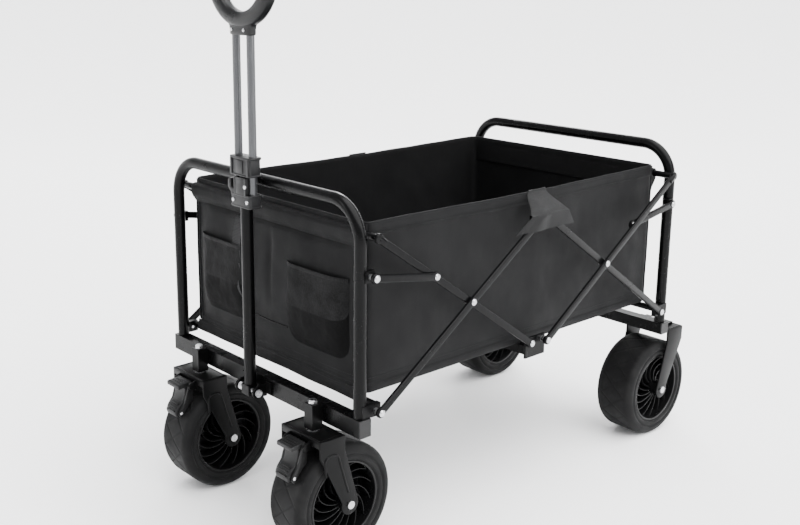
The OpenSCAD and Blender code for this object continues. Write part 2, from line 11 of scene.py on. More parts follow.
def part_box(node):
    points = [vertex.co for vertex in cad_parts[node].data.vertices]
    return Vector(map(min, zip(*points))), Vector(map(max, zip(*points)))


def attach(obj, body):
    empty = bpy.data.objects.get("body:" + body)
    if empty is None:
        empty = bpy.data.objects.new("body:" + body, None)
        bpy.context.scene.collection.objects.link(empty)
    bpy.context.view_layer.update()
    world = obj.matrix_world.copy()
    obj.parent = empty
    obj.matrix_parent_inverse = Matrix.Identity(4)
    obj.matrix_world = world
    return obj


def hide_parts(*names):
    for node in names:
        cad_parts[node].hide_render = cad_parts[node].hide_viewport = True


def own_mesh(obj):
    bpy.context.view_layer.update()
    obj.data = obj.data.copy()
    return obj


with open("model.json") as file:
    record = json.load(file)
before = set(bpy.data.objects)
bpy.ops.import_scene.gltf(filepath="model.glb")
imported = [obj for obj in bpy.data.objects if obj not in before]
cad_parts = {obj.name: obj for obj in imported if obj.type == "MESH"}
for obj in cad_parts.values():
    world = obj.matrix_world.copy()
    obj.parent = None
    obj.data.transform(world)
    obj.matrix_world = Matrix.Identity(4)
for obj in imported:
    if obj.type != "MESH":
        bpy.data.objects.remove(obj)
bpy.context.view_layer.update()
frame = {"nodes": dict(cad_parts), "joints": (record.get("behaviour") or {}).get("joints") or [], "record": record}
NODES = frame["nodes"]
JOINTS = {j["name"]: j for j in frame["joints"]}
MM = 0.001


# ---------------------------------------------------------------- positions from the frame

def middle(node):
    lo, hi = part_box(node)
    return (lo + hi) / 2


def pivot(joint):
    return Vector(JOINTS[joint]["pos_m"])


FRONT_X, REAR_X = middle("front_frame_tube").x, middle("rear_frame_tube").x
MID_X = (FRONT_X + REAR_X) / 2
PANEL_LO, PANEL_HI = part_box("front_panel")
WALLS_LO, WALLS_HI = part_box("basket_walls")
FLOOR_LO, FLOOR_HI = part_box("basket_floor")
RIM_Z, BASE_Z = WALLS_HI.z, WALLS_LO.z
MAST_X = middle("mast_tube").x


# ---------------------------------------------------------------- camera, lights and floor

def linked(name, data):
    """New object in the scene."""
    thing = bpy.data.objects.new(name, data)
    bpy.context.scene.collection.objects.link(thing)
    return thing


def set_camera():
    data = bpy.data.cameras.new("camera")
    data.sensor_width, data.lens = 36, 48.3
    data.shift_x, data.shift_y = 0.075, -0.053
    cam = linked("camera", data)
    cam.location = (FRONT_X - 0.9885, -1.369, 0.919)
    azimuth, elevation = math.radians(40.2), math.radians(13.4)
    look = Vector((math.sin(azimuth) * math.cos(elevation), math.cos(azimuth) * math.cos(elevation),
                   -math.sin(elevation)))
    cam.rotation_euler = look.to_track_quat("-Z", "Y").to_euler()
    bpy.context.scene.camera = cam


def area_light(name, where, target, size, power, size_y=None):
    data = bpy.data.lights.new(name, "AREA")
    data.shape, data.size, data.size_y, data.energy = "RECTANGLE", size, size_y or size, power
    lamp = linked(name, data)
    lamp.location = where
    lamp.rotation_euler = (Vector(target) - Vector(where)).to_track_quat("-Z", "Y").to_euler()


def set_lights():
    world = bpy.data.worlds.new("studio")
    bpy.context.scene.world = world
    world.use_nodes = True
    background = world.node_tree.nodes["Background"]
    background.inputs["Color"].default_value = (0.97, 0.98, 1.0, 1)
    background.inputs["Strength"].default_value = 1.0
    data = bpy.data.lights.new("overhead", "SUN")
    data.energy, data.angle = 9.5, math.radians(80)
    overhead = linked("overhead", data)
    overhead.rotation_euler = (math.radians(22), math.radians(8), 0)
    aim = (MID_X, 0, 0.35)
    area_light("side", (0.6, -2.6, 1.3), aim, 0.8, 34, 1.6)
    area_light("front_strip", (-2.6, 0.9, 1.3), aim, 0.4, 16, 1.9)
    area_light("back", (1.9, 2.0, 1.9), aim, 0.6, 30, 1.4)


def set_floor():
    """Pale sweep: a flat floor that turns up far behind the cart."""
    reach, back, rise, bend = 40.0, 5.0, 4.0, 1.5
    profile = [(-reach, 0.0), (back - bend, 0.0)]
    profile += [(back - bend + bend * math.sin(a), bend - bend * math.cos(a))
                for a in (math.pi / 2 * i / 16 for i in range(1, 17))]
    profile += [(back, rise)]
    turn = Matrix.Rotation(math.radians(-40), 4, "Z")
    verts = [turn @ Vector((side * reach, y, z)) for side in (-1, 1) for y, z in profile]
    n = len(profile)
    faces = [(i, i + 1, n + i + 1, n + i) for i in range(n - 1)]
    mesh = bpy.data.meshes.new("floor")
    mesh.from_pydata(verts, [], faces)
    mesh.shade_smooth()
    mesh.materials.append(Surface("floor_paper", (0.97, 0.97, 0.972), 0.75).mat)
    floor = linked("floor", mesh)


# ---------------------------------------------------------------- materials

MIX_FROM, MIX_TO, MIX_RESULT = 6, 7, 2  # the mix node's colour sockets


class Surface:
    """A Principled material with short calls for the nodes that feed it."""

    def __init__(self, name, color, roughness, metallic=0.0):
        self.mat = bpy.data.materials.new(name)
        self.mat.use_nodes = True
        self.tree = self.mat.node_tree
        self.shader = self.tree.nodes["Principled BSDF"]
        self.color = (*color, 1)
        self.set(self.shader, {"Base Color": self.color, "Roughness": roughness, "Metallic": metallic})
        self.where = self.add("ShaderNodeTexCoord").outputs["Object"]
        self.normal = None

    def add(self, kind, inputs=None, **settings):
        node = self.tree.nodes.new(kind)
        for key, value in settings.items():
            setattr(node, key, value)
        self.set(node, inputs or {})
        return node

    def set(self, node, inputs):
        for key, value in inputs.items():
            socket = node.inputs[key]
            if isinstance(value, bpy.types.NodeSocket):
                self.tree.links.new(value, socket)
            else:
                socket.default_value = value

    def math(self, operation, a, b=0.0):
        return self.add("ShaderNodeMath", {0: a, 1: b}, operation=operation).outputs[0]

    def axes(self):
        return self.add("ShaderNodeSeparateXYZ", {"Vector": self.where}).outputs

    def stretched(self, x, y, z):
        return self.add("ShaderNodeMapping", {"Vector": self.where, "Scale": (x, y, z)}).outputs["Vector"]

    def noise(self, scale, detail=3.0, vector=None, roughness=0.55):
        inputs = {"Vector": vector or self.where, "Scale": scale, "Detail": detail, "Roughness": roughness}
        return self.add("ShaderNodeTexNoise", inputs).outputs["Fac"]

    def cells(self, scale, vector):
        return self.add("ShaderNodeTexVoronoi", {"Vector": vector, "Scale": scale}).outputs["Distance"]

    def span(self, value, low, high, to_low, to_high):
        inputs = {"Value": value, "From Min": low, "From Max": high, "To Min": to_low, "To Max": to_high}
        return self.add("ShaderNodeMapRange", inputs).outputs["Result"]

    def tint(self, pattern, low, high, amount, color):
        """Blends another colour into the base colour as the pattern goes from low to high."""
        factor = self.span(pattern, low, high, 0, amount)
        base = self.shader.inputs["Base Color"]
        current = base.links[0].from_socket if base.links else self.color
        inputs = {"Factor": factor, MIX_FROM: current, MIX_TO: (*color, 1)}
        node = self.add("ShaderNodeMix", inputs, data_type="RGBA")
        self.tree.links.new(node.outputs[MIX_RESULT], base)

    def rough(self, pattern, low, high):
        """Lets the roughness follow the pattern."""
        self.set(self.shader, {"Roughness": self.span(pattern, 0.3, 0.7, low, high)})

    def bump(self, height, strength, distance):
        inputs = {"Height": height, "Strength": strength, "Distance": distance}
        if self.normal:
            inputs["Normal"] = self.normal
        self.normal = self.add("ShaderNodeBump", inputs).outputs["Normal"]
        self.set(self.shader, {"Normal": self.normal})


def powder_coat(name, color, roughness):
    """Satin powder coat: fine orange peel, cloudy gloss, a little dust and small scuffs."""
    s = Surface(name, color, roughness)
    s.set(s.shader, {"Specular IOR Level": 0.09})
    s.rough(s.noise(16, 4), roughness - 0.06, roughness + 0.1)
    s.tint(s.noise(420, 2, s.stretched(1, 1, 0.35)), 0.7, 0.78, 0.5, [c * 2.5 + 0.003 for c in color])
    s.tint(s.noise(7, 3), 0.45, 0.75, 0.35, [c * 1.8 for c in color])
    s.bump(s.noise(1500, 2), 0.12, 0.0003)
    return s.mat


def moulded_plastic(name, color, roughness, grain=2600):
    """Moulded plastic: spark-eroded grain with flow marks."""
    s = Surface(name, color, roughness)
    s.set(s.shader, {"Specular IOR Level": 0.2})
    s.rough(s.noise(30, 3), roughness - 0.07, roughness + 0.08)
    s.tint(s.noise(60, 4), 0.5, 0.8, 0.5, [c * 1.7 + 0.001 for c in color])
    s.bump(s.noise(grain, 1), 0.22, 0.0002)
    s.bump(s.noise(45, 2), 0.05, 0.002)
    return s.mat


def bright_zinc(name):
    """Zinc plate with fine turning marks."""
    s = Surface(name, (0.5, 0.5, 0.51), 0.27, 1.0)
    s.rough(s.noise(260, 3), 0.2, 0.4)
    s.tint(s.noise(90, 4), 0.5, 0.75, 0.6, (0.45, 0.45, 0.47))
    s.bump(s.noise(1800, 1, s.stretched(1, 0.12, 1)), 0.15, 0.0002)
    return s.mat


def drawn_rod(name):
    """Dark anodised rod with draw lines along it and rub marks from the collar."""
    s = Surface(name, (0.06, 0.061, 0.064), 0.3, 0.7)
    lines = s.noise(1300, 2, s.stretched(1, 1, 0.012))
    s.rough(lines, 0.22, 0.38)
    s.tint(s.noise(240, 3, s.stretched(1, 1, 0.06)), 0.55, 0.8, 0.7, (0.12, 0.12, 0.126))
    s.bump(lines, 0.1, 0.0002)
    return s.mat


def tyre_rubber(name):
    """Foam rubber skin: matte, dusty in patches, with a fine pebbled grain."""
    s = Surface(name, (0.0045, 0.0045, 0.0047), 0.6)
    s.set(s.shader, {"Sheen Weight": 0.008, "Sheen Roughness": 0.5, "Specular IOR Level": 0.1})
    s.rough(s.noise(24, 4), 0.52, 0.74)
    s.tint(s.noise(38, 5), 0.48, 0.75, 0.55, (0.013, 0.0129, 0.0125))
    s.bump(s.noise(900, 3), 0.25, 0.0003)
    return s.mat


def woven(name, color, thread, sheen=0.008, flat=False, strength=0.35, gloss=0.08):
    """Coated polyester: plain weave from two crossing sets of threads, slubs and soft creases."""
    s = Surface(name, color, 0.62)
    s.set(s.shader, {"Sheen Weight": sheen, "Sheen Roughness": 0.45, "Specular IOR Level": gloss})
    x, y, z = s.axes()
    along = s.math("ADD", x, y)
    across = s.math("SUBTRACT", x, y) if flat else z
    k = math.pi / thread
    warp = s.math("SINE", s.math("MULTIPLY", along, k))
    weft = s.math("SINE", s.math("MULTIPLY", across, k))
    weave = s.math("MULTIPLY", warp, weft)
    height = s.math("ADD", s.math("ABSOLUTE", weave), s.math("MULTIPLY", s.noise(700, 2), 0.6))
    slub = s.noise(260, 3, s.stretched(1, 1, 0.08))
    s.tint(height, 0.2, 1.3, 0.55, [c * 1.6 + 0.001 for c in color])
    s.tint(slub, 0.55, 0.8, 0.35, [c * 2.0 + 0.001 for c in color])
    s.tint(s.noise(6, 4), 0.45, 0.8, 0.4, [c * 1.7 for c in color])
    s.rough(s.noise(14, 4), 0.5, 0.7)
    s.bump(height, strength, thread * 0.35)
    s.bump(s.noise(18, 5), 0.22, 0.004)
    return s.mat


def knitted_mesh(name):
    """Open hexagonal knit over a dark ground."""
    s = Surface(name, (0.0048, 0.0048, 0.005), 0.75)
    s.set(s.shader, {"Sheen Weight": 0.008, "Sheen Roughness": 0.4, "Specular IOR Level": 0.08})
    holes = s.cells(430, s.stretched(0.4, 1, 0.8))
    s.tint(holes, 0.62, 0.3, 1, (0.0015, 0.0015, 0.0015))
    s.tint(s.noise(40, 4), 0.4, 0.8, 0.6, (0.014, 0.014, 0.0145))
    s.bump(holes, 0.5, 0.0008)
    return s.mat


def webbing(name, color, axis=2):
    """Woven strap with ribs across it."""
    s = Surface(name, color, 0.55)
    s.set(s.shader, {"Sheen Weight": 0.01, "Sheen Roughness": 0.4, "Specular IOR Level": 0.08})
    k = math.pi / 0.0013
    ribs = s.math("SINE", s.math("MULTIPLY", s.axes()[axis], k))
    s.tint(ribs, 0.2, 1.0, 0.6, [c * 1.7 for c in color])
    s.tint(s.noise(500, 3), 0.5, 0.8, 0.4, [c * 0.5 for c in color])
    s.bump(ribs, 0.5, 0.0005)
    return s.mat


MATS = {
    "frame_steel": powder_coat("frame_powder_coat", (0.0013, 0.0013, 0.0014), 0.25),
    "fork_steel": powder_coat("fork_powder_coat", (0.0016, 0.0016, 0.0017), 0.33),
    "arm_steel": powder_coat("arm_powder_coat", (0.0022, 0.0022, 0.0024), 0.22),
    "mast_steel": powder_coat("mast_powder_coat", (0.0009, 0.0009, 0.001), 0.3),
    "rod_aluminium": drawn_rod("rod_anodised"),
    "black_plastic": moulded_plastic("collar_plastic", (0.0085, 0.0085, 0.009), 0.4),
    "brake_plastic": moulded_plastic("brake_plastic", (0.0038, 0.0038, 0.004), 0.46, 1800),
    "grip_plastic": moulded_plastic("grip_plastic", (0.004, 0.004, 0.0043), 0.34),
    "zinc_hardware": bright_zinc("zinc_plate"),
    "tyre_rubber": tyre_rubber("tyre_foam_rubber"),
    "rim_plastic": moulded_plastic("rim_plastic", (0.0025, 0.0025, 0.0027), 0.3),
    "basket_fabric": woven("basket_polyester", (0.0037, 0.0037, 0.0039), 0.0014),
    "pocket_mesh": knitted_mesh("pocket_knit"),
    "floor_fabric": woven("floor_polyester", (0.0045, 0.0045, 0.0048), 0.0014, flat=True),
}
SLOT_OF = {s["node"]: s["material_slot"] for s in frame["record"]["subparts"]}
for node_name, node_object in NODES.items():
    node_object.data.materials.clear()
    node_object.data.materials.append(MATS[SLOT_OF[node_name]])


# ---------------------------------------------------------------- mesh building

XY = Matrix.Identity(4)
XZ = Matrix(((1, 0, 0, 0), (0, 0, 1, 0), (0, 1, 0, 0), (0, 0, 0, 1)))
YZ = Matrix(((0, 0, 1, 0), (1, 0, 0, 0), (0, 1, 0, 0), (0, 0, 0, 1)))
MIRROR_Y = Matrix.Diagonal((1, -1, 1, 1))


def ring_points(radius, count, start=0.0, turn=2 * math.pi, centre=(0, 0)):
    """Points on an arc; a full turn leaves out the repeated last point."""
    last = count if abs(turn) > 2 * math.pi - 1e-6 else count - 1
    return [(centre[0] + radius * math.cos(start + turn * i / last),
             centre[1] + radius * math.sin(start + turn * i / last)) for i in range(count)]


def mm(points, x=0.0, z=0.0):
    """Points given in millimetres, moved to (x, z)."""
    return [(x + a * MM, z + b * MM) for a, b in points]


def skin(bm, rings, closed=False):
    """Faces from each ring of points to the next; a closed skin joins the last ring to the first."""
    for here, there in zip(rings, rings[1:] + rings[:1] if closed else rings[1:]):
        for k in range(len(here)):
            m = (k + 1) % len(here)
            bm.faces.new((here[k], there[k], there[m], here[m]))
    if not closed:
        bm.faces.new(rings[0])
        bm.faces.new(rings[-1][::-1])


class Shape:
    """Collects bevelled primitives into one mesh."""

    def __init__(self):
        self.verts, self.faces = [], []

    def take(self, bm, place=XY):
        base = len(self.verts)
        bm.verts.index_update()
        self.verts += [place @ v.co for v in bm.verts]
        self.faces += [[base + v.index for v in f.verts] for f in bm.faces]
        bm.free()

    def prism(self, outline, low, high, bevel=0.0008, place=XY, steps=2):
        """An outline in the local XY plane, drawn out along local Z, with rounded edges."""
        bm = bmesh.new()
        low, high = sorted((low, high))
        face = bm.faces.new([bm.verts.new((x, y, low)) for x, y in outline])
        moved = bmesh.ops.extrude_face_region(bm, geom=[face])["geom"]
        for v in moved:
            if isinstance(v, bmesh.types.BMVert):
                v.co.z = high
        bmesh.ops.recalc_face_normals(bm, faces=bm.faces)
        edges = [e for e in bm.edges if e.calc_face_angle(0) > math.radians(28)]
        if bevel:
            bmesh.ops.bevel(bm, geom=edges, offset=bevel, segments=steps, affect="EDGES", profile=0.5,
                            clamp_overlap=True)
        self.take(bm, place)

    def box(self, low, high, bevel=0.0008, steps=2):
        outline = [(low[0], low[1]), (high[0], low[1]), (high[0], high[1]), (low[0], high[1])]
        self.prism(outline, low[2], high[2], bevel, XY, steps)

    def lathe(self, profile, centre, steps=64, axis="Y"):
        """Turns a profile of (radius, height) points about an axis through centre."""
        bm = bmesh.new()
        rings = []
        for i in range(steps):
            a = 2 * math.pi * i / steps
            rings.append([bm.verts.new((r * math.cos(a), r * math.sin(a), h)) for r, h in profile])
        skin(bm, rings, closed=True)
        turn = {"Y": XZ, "X": YZ, "Z": XY}[axis]
        self.take(bm, Matrix.Translation(centre) @ turn)

    def tube(self, path, radius, steps=12, up=Vector((0, 0, 1))):
        """A round bar with closed ends along a path of points."""
        path = [Vector(p) for p in path]
        bm = bmesh.new()
        rings = []
        for i, p in enumerate(path):
            ahead = (path[min(i + 1, len(path) - 1)] - path[max(i - 1, 0)]).normalized()
            side = ahead.cross(up)
            side = side.normalized() if side.length > 1e-4 else Vector((1, 0, 0))
            top = side.cross(ahead).normalized()
            rings.append([bm.verts.new(p + side * radius * math.cos(a) + top * radius * math.sin(a))
                          for a in (2 * math.pi * k / steps for k in range(steps))])
        skin(bm, rings)
        self.take(bm)

    def both_sides(self):
        """Repeats what is there so far, mirrored across the cart."""
        base = len(self.verts)
        self.faces += [[base + i for i in f][::-1] for f in self.faces]
        self.verts += [MIRROR_Y @ Vector(v) for v in self.verts]

    def mesh(self, name, angle=32):
        mesh = bpy.data.meshes.new(name)
        mesh.from_pydata(self.verts, [], self.faces)
        bm = bmesh.new()
        bm.from_mesh(mesh)
        bmesh.ops.recalc_face_normals(bm, faces=bm.faces)
        bm.to_mesh(mesh)
        bm.free()
        mesh.shade_smooth()
        mesh.set_sharp_from_angle(angle=math.radians(angle))
        return mesh

    def done(self, name, body, slot, replaced=(), mat=None, angle=32):
        return place_mesh(name, self.mesh(name, angle), body, slot, replaced, mat)


def place_mesh(name, mesh, body, slot, replaced=(), mat=None):
    piece = linked(name, mesh)
    if not mesh.materials:
        mesh.materials.append(mat or MATS[slot])
    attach(piece, body)
    if replaced:
        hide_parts(*replaced)
    return piece


def finished(bm, name, sharp=None):
    """Smooth mesh of a bmesh, with its faces turned outwards."""
    bmesh.ops.recalc_face_normals(bm, faces=bm.faces)
    mesh = bpy.data.meshes.new(name)
    bm.to_mesh(mesh)
    bm.free()
    mesh.shade_smooth()
    if sharp:
        mesh.set_sharp_from_angle(angle=math.radians(sharp))
    return mesh


def sheet_mesh(name, columns, rows, point, sharp=50, slot_at=lambda v: 0):
    """Closed cloth sheet: point(layer, i, k) places its outer (0) and inner (1) face."""
    bm = bmesh.new()
    layers = [[[bm.verts.new(point(layer, i, k)) for k in range(rows + 1)] for i in range(columns + 1)]
              for layer in (0, 1)]
    for layer, grid in enumerate(layers):
        for i in range(columns):
            for k in range(rows):
                quad = (grid[i][k], grid[i + 1][k], grid[i + 1][k + 1], grid[i][k + 1])
                made = bm.faces.new(quad[::-1] if layer else quad)
                made.material_index = slot_at((k + 0.5) / rows)
    outer, inner = layers
    border = ([(i, 0) for i in range(columns)] + [(columns, k) for k in range(rows)]
              + [(i, rows) for i in range(columns, 0, -1)] + [(0, k) for k in range(rows, 0, -1)])
    for (i, k), (i2, k2) in zip(border, border[1:] + border[:1]):
        made = bm.faces.new((outer[i][k], outer[i2][k2], inner[i2][k2], inner[i][k]))
        made.material_index = slot_at(1.0 if k == k2 == rows else 0.0)
    return finished(bm, name, sharp)


# ---------------------------------------------------------------- fabric basket

HEM_TOP, HEM_BASE = 20 * MM, 15 * MM
CLOTH = 2.2 * MM
CORNER_R = 14 * MM
FRONT_FACE = PANEL_LO.x - 5 * MM


def smooth(value, low, high):
    t = max(0.0, min(1.0, (value - low) / (high - low)))
    return t * t * (3 - 2 * t)


def basket_loop(step=5 * MM):
    """Points and outward directions round the basket, with rounded corners, starting at the front right."""
    x0, x1 = FRONT_FACE, WALLS_HI.x
    half = WALLS_HI.y
    corners = [(x0, -half), (x1, -half), (x1, half), (x0, half)]
    loop = []
    for i, (x, y) in enumerate(corners):
        cx = x + (CORNER_R if x == x0 else -CORNER_R)
        cy = y + (CORNER_R if y < 0 else -CORNER_R)
        start = math.pi + i * math.pi / 2
        for k in range(7):
            a = start + k * math.pi / 12
            loop.append((Vector((cx + CORNER_R * math.cos(a), cy + CORNER_R * math.sin(a))),
                         Vector((math.cos(a), math.sin(a)))))
        nx, ny = corners[(i + 1) % 4]
        a = start + math.pi / 2
        out = Vector((math.cos(a), math.sin(a)))
        begin = loop[-1][0]
        run = abs(nx - x) + abs(ny - y) - 2 * CORNER_R
        along = Vector((-out.y, out.x))
        count = round(run / step)
        loop += [(begin + along * run * k / count, out) for k in range(1, count)]
    return loop


def push(x, y, z, out):
    """How far the cloth stands out from its flat wall: belly, soft folds and pulls from the corners."""
    h = max(0.0, min(1.0, (z - BASE_Z) / (RIM_Z - BASE_Z)))
    on_side = abs(out.y) > 0.7
    on_front = out.x < -0.7
    reach = (WALLS_HI.x - PANEL_LO.x) / 2 if on_side else WALLS_HI.y
    offset = abs(x - MID_X) if on_side else abs(y)
    free = smooth(reach - offset, 0, 70 * MM) * math.sin(math.pi * min(1, h * 1.02)) ** 0.7
    belly = (13 * MM if on_front else 4 * MM) * free
    seed = 3.1 if y < 0 else 11.7
    u = (x if on_side else y)
    folds = noise.noise(Vector((u * 15, h * 1.3, seed))) * 2.4 * MM
    folds += noise.noise(Vector(((u + z * 0.8) * 22, (u - z) * 7, seed + 5))) * 1.5 * MM
    folds += noise.noise(Vector((u * 60, z * 34, seed + 9))) * 0.45 * MM
    total = belly + folds * (0.25 + 0.75 * free) * smooth(h, 0, 0.1) * smooth(1 - h, 0, 0.1)
    if on_front:
        crease = math.exp(-abs(y + 4 * MM) / (7 * MM)) * smooth(h, 0.25, 0.5) * smooth(1 - h, 0.12, 0.3)
        total -= 5 * MM * crease
        total = min(total, 15 * MM * smooth(RIM_Z - z, 34 * MM, 62 * MM) + 1 * MM)
    return total


def rim_drop(x, y, out):
    """The rim hangs a little between the two end tubes."""
    if abs(out.y) < 0.7:
        return 0.0
    t = (x - PANEL_LO.x) / (WALLS_HI.x - PANEL_LO.x)
    return (3.2 * math.sin(math.pi * t) ** 2 + 0.8 * noise.noise(Vector((x * 14, 0, y)))) * MM


def basket_profile():
    """(offset from the loop, height, share of the way to the middle), from the inner bottom outwards."""
    spread = (0.04, 0.12, 0.28, 0.46, 0.64, 0.82, 1.0)
    inner, thick = -CLOTH, 1.1 * MM
    inside, count = BASE_Z + 2.5 * MM, 40
    rows = [(inner, inside, f) for f in spread[::-1]]
    rows += [(inner, inside + (RIM_Z - 1 * MM - inside) * k / count, 0) for k in range(count + 1)]
    rim = ((inner * 0.7, 0.3), (inner * 0.2, 0), (thick * 0.7, 0.4), (thick, 1.4))
    rows += [(out, RIM_Z - down * MM, 0) for out, down in rim]
    rows += [(thick, RIM_Z - HEM_TOP / 2, 0), (thick, RIM_Z - HEM_TOP + 0.6 * MM, 0),
             (thick * 0.3, RIM_Z - HEM_TOP, 0), (0, RIM_Z - HEM_TOP - 0.8 * MM, 0)]
    top, base = RIM_Z - HEM_TOP - 3 * MM, BASE_Z + HEM_BASE + 3 * MM
    rows += [(0, top + (base - top) * k / 42, 0) for k in range(43)]
    rows += [(0, BASE_Z + HEM_BASE + 0.8 * MM, 0), (thick * 0.4, BASE_Z + HEM_BASE, 0),
             (thick, BASE_Z + HEM_BASE - 0.8 * MM, 0), (thick, BASE_Z + HEM_BASE / 2, 0),
             (thick, BASE_Z + 3 * MM, 0), (thick * 0.5, BASE_Z + 1 * MM, 0), (-1 * MM, BASE_Z + 0.1 * MM, 0)]
    return rows + [(-1 * MM, BASE_Z, f) for f in spread]


def basket_shell():
    """One continuous bag: inner wall, rim, outer wall with its hems, and the bottom."""
    loop, rows = basket_loop(), basket_profile()
    half = WALLS_HI.y
    bm = bmesh.new()
    grid = []
    for base, out in loop:
        column = []
        core = Vector((max(PANEL_LO.x + half, min(WALLS_HI.x - half, base.x)), 0))
        for offset, z, f in rows:
            p = base + out * (offset + push(base.x, base.y, z, out) * (1 - f))
            p = p.lerp(core, f)
            h = smooth(z, BASE_Z, RIM_Z)
            z -= rim_drop(base.x, base.y, out) * h * (1 - f)
            if f > 0:
                sag = math.sin(math.pi * (p.x - PANEL_LO.x) / (MID_X - PANEL_LO.x)) ** 2
                z -= 3.5 * MM * sag * smooth(f, 0, 0.4)
            column.append(bm.verts.new((p.x, p.y, z)))
        grid.append(column)
    for i, column in enumerate(grid):
        after = grid[(i + 1) % len(grid)]
        for k in range(len(rows) - 1):
            bm.faces.new((column[k], after[k], after[k + 1], column[k + 1]))
    bmesh.ops.remove_doubles(bm, verts=[c[k] for c in grid for k in (0, -1)], dist=0.4 * MM)
    bmesh.ops.dissolve_degenerate(bm, edges=bm.edges, dist=0.01 * MM)
    mesh = finished(bm, "basket_shell")
    shell = place_mesh("basket_shell", mesh, "basket", "basket_fabric", ("basket_walls", "front_panel"))
    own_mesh(shell)
    return loop


def wall_point(base, out, z, lift=0.0):
    """A point on the outside of the bag."""
    p = base + out * (push(base.x, base.y, z, out) + lift)
    return Vector((p.x, p.y, z - rim_drop(base.x, base.y, out) * smooth(z, BASE_Z, RIM_Z)))


def front_point(y, z, lift=0.0):
    return wall_point(Vector((FRONT_FACE, y)), Vector((-1, 0)), z, lift)


def stitching(loop):
    """Rows of single stitches along the hems."""
    shape = Shape()
    heights = [(RIM_Z - 3.5 * MM, 1.15 * MM), (RIM_Z - HEM_TOP + 2.5 * MM, 1.15 * MM),
               (BASE_Z + HEM_BASE - 2.5 * MM, 1.15 * MM), (BASE_Z + HEM_BASE + 9 * MM, 0.05 * MM)]
    for z, lift in heights:
        for i in range(len(loop)):
            (a, na), (b, nb) = loop[i], loop[(i + 1) % len(loop)]
            p, q = wall_point(a, na, z, lift), wall_point(b, nb, z, lift)
            if (q - p).length > 3 * MM:
                lifted = p.lerp(q, 0.5) + Vector((na.x, na.y, 0)) * 0.2 * MM
                shape.tube([p.lerp(q, 0.14), lifted, p.lerp(q, 0.86)], 0.32 * MM, 5)
    thread = webbing("stitch_thread", (0.009, 0.009, 0.0094))
    piece = shape.done("basket_stitching", "basket", "basket_fabric", mat=thread, angle=80)
    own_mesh(piece)


def corner_piping(loop):
    """Bound seams up the four corners and along the lower edge of the front panel."""
    shape = Shape()
    for turn in range(4):
        target = math.radians(225 + 90 * turn)
        want = Vector((math.cos(target), math.sin(target)))
        base, out = max(loop, key=lambda item: item[1].dot(want))
        heights = [BASE_Z + 3 * MM + (RIM_Z - BASE_Z - 6 * MM) * k / 30 for k in range(31)]
        shape.tube([wall_point(base, out, z, 1.4 * MM) for z in heights], 1.7 * MM, 8, up=Vector((1, 0, 0)))
    side = WALLS_HI.y - 3 * MM
    for y in (side - 2 * MM, side - 11 * MM, -side + 2 * MM):
        seam = [front_point(y, BASE_Z + (RIM_Z - BASE_Z) * k / 40, 0.6 * MM) for k in range(1, 35)]
        shape.tube(seam, 1.3 * MM, 8, up=Vector((1, 0, 0)))
    low = [front_point(side * (2 * k / 50 - 1), BASE_Z + 3 * MM, 1 * MM) for k in range(51)]
    shape.tube(low, 1.9 * MM, 8)
    line = [front_point((-50 + 100 * k / 24) * MM, BASE_Z + 63 * MM, 0.3 * MM) for k in range(25)]
    shape.tube(line, 1.1 * MM, 8)
    binding = webbing("piping_binding", (0.007, 0.007, 0.0073))
    piece = shape.done("basket_piping", "basket", "basket_fabric", mat=binding, angle=80)
    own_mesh(piece)


def hem_sleeve(name, centre_x, face_x, sign):
    """Cloth sleeve round an end tube, sewn flat to the end wall below it."""
    centre = Vector((centre_x, 0, pivot("basket_hang").z))
    roll = 9.3 * MM
    half = WALLS_HI.y - 5 * MM
    foot = centre.z - 32 * MM
    wall_x = face_x + 1.5 * MM * sign
    count = 92
    grid = []
    bm = bmesh.new()
    for i in range(count + 1):
        y = -half + 2 * half * i / count
        wave = noise.noise(Vector((y * 20, 0.4, sign))) * 1.1 * MM
        ripple = noise.noise(Vector((y * 55, 2.4, sign))) * 0.5 * MM
        r = roll + ripple * 0.5
        outline = [(wall_x - 3 * MM * sign, foot - 3 * MM), (wall_x - 4.4 * MM * sign, foot - 2.6 * MM),
                   (wall_x - 5 * MM * sign, foot)]
        front = centre.x - r * sign
        for t in (0.2, 0.4, 0.6, 0.8):
            x = wall_x - 5 * MM * sign + (front - wall_x + 5 * MM * sign) * smooth(t, 0, 1)
            x -= (wave + 1.5 * MM) * math.sin(math.pi * t) * sign
            outline.append((x, foot + (centre.z - 4 * MM - foot) * t))
        for k in range(13):
            a = math.pi + (0.12 - 1.25 * k / 12) * math.pi
            outline.append((centre.x + r * math.cos(a) * sign, centre.z + r * math.sin(a)))
        outline.append((wall_x + 1.2 * MM * sign, centre.z + 1 * MM))
        outline.append((wall_x + 1.6 * MM * sign, foot))
        column = [bm.verts.new((x, y, z)) for x, z in outline]
        grid.append(column)
    skin(bm, grid)
    sleeve = place_mesh(name, finished(bm, name, 50), "basket", "basket_fabric")
    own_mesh(sleeve)


def skirt():
    """Lower edge of the front wall, which hangs a little way down in front of the bottom rail."""
    half, top, low = WALLS_HI.y - 4 * MM, BASE_Z + 6 * MM, BASE_Z - 13 * MM
    thick, stand_off = 1.6 * MM, 3.4 * MM
    hem, hem_from = 0.7 * MM, 0.7
    columns, rows = 90, 8

    def point(layer, i, k):
        y, v = -half + 2 * half * i / columns, k / rows
        wave = noise.noise(Vector((y * 16, 3.3, 0))) * 2.2 * MM
        drop = noise.noise(Vector((y * 9, 8.1, 0))) * 1.5 * MM
        out = stand_off + 1.6 * MM * smooth(v, 0, 0.4) + wave * v + (hem if v > hem_from else 0)
        return FRONT_FACE - out + thick * layer, y, top + (low + drop - top) * v

    mesh = sheet_mesh("front_skirt", columns, rows, point)
    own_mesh(place_mesh("front_skirt", mesh, "basket", "basket_fabric"))


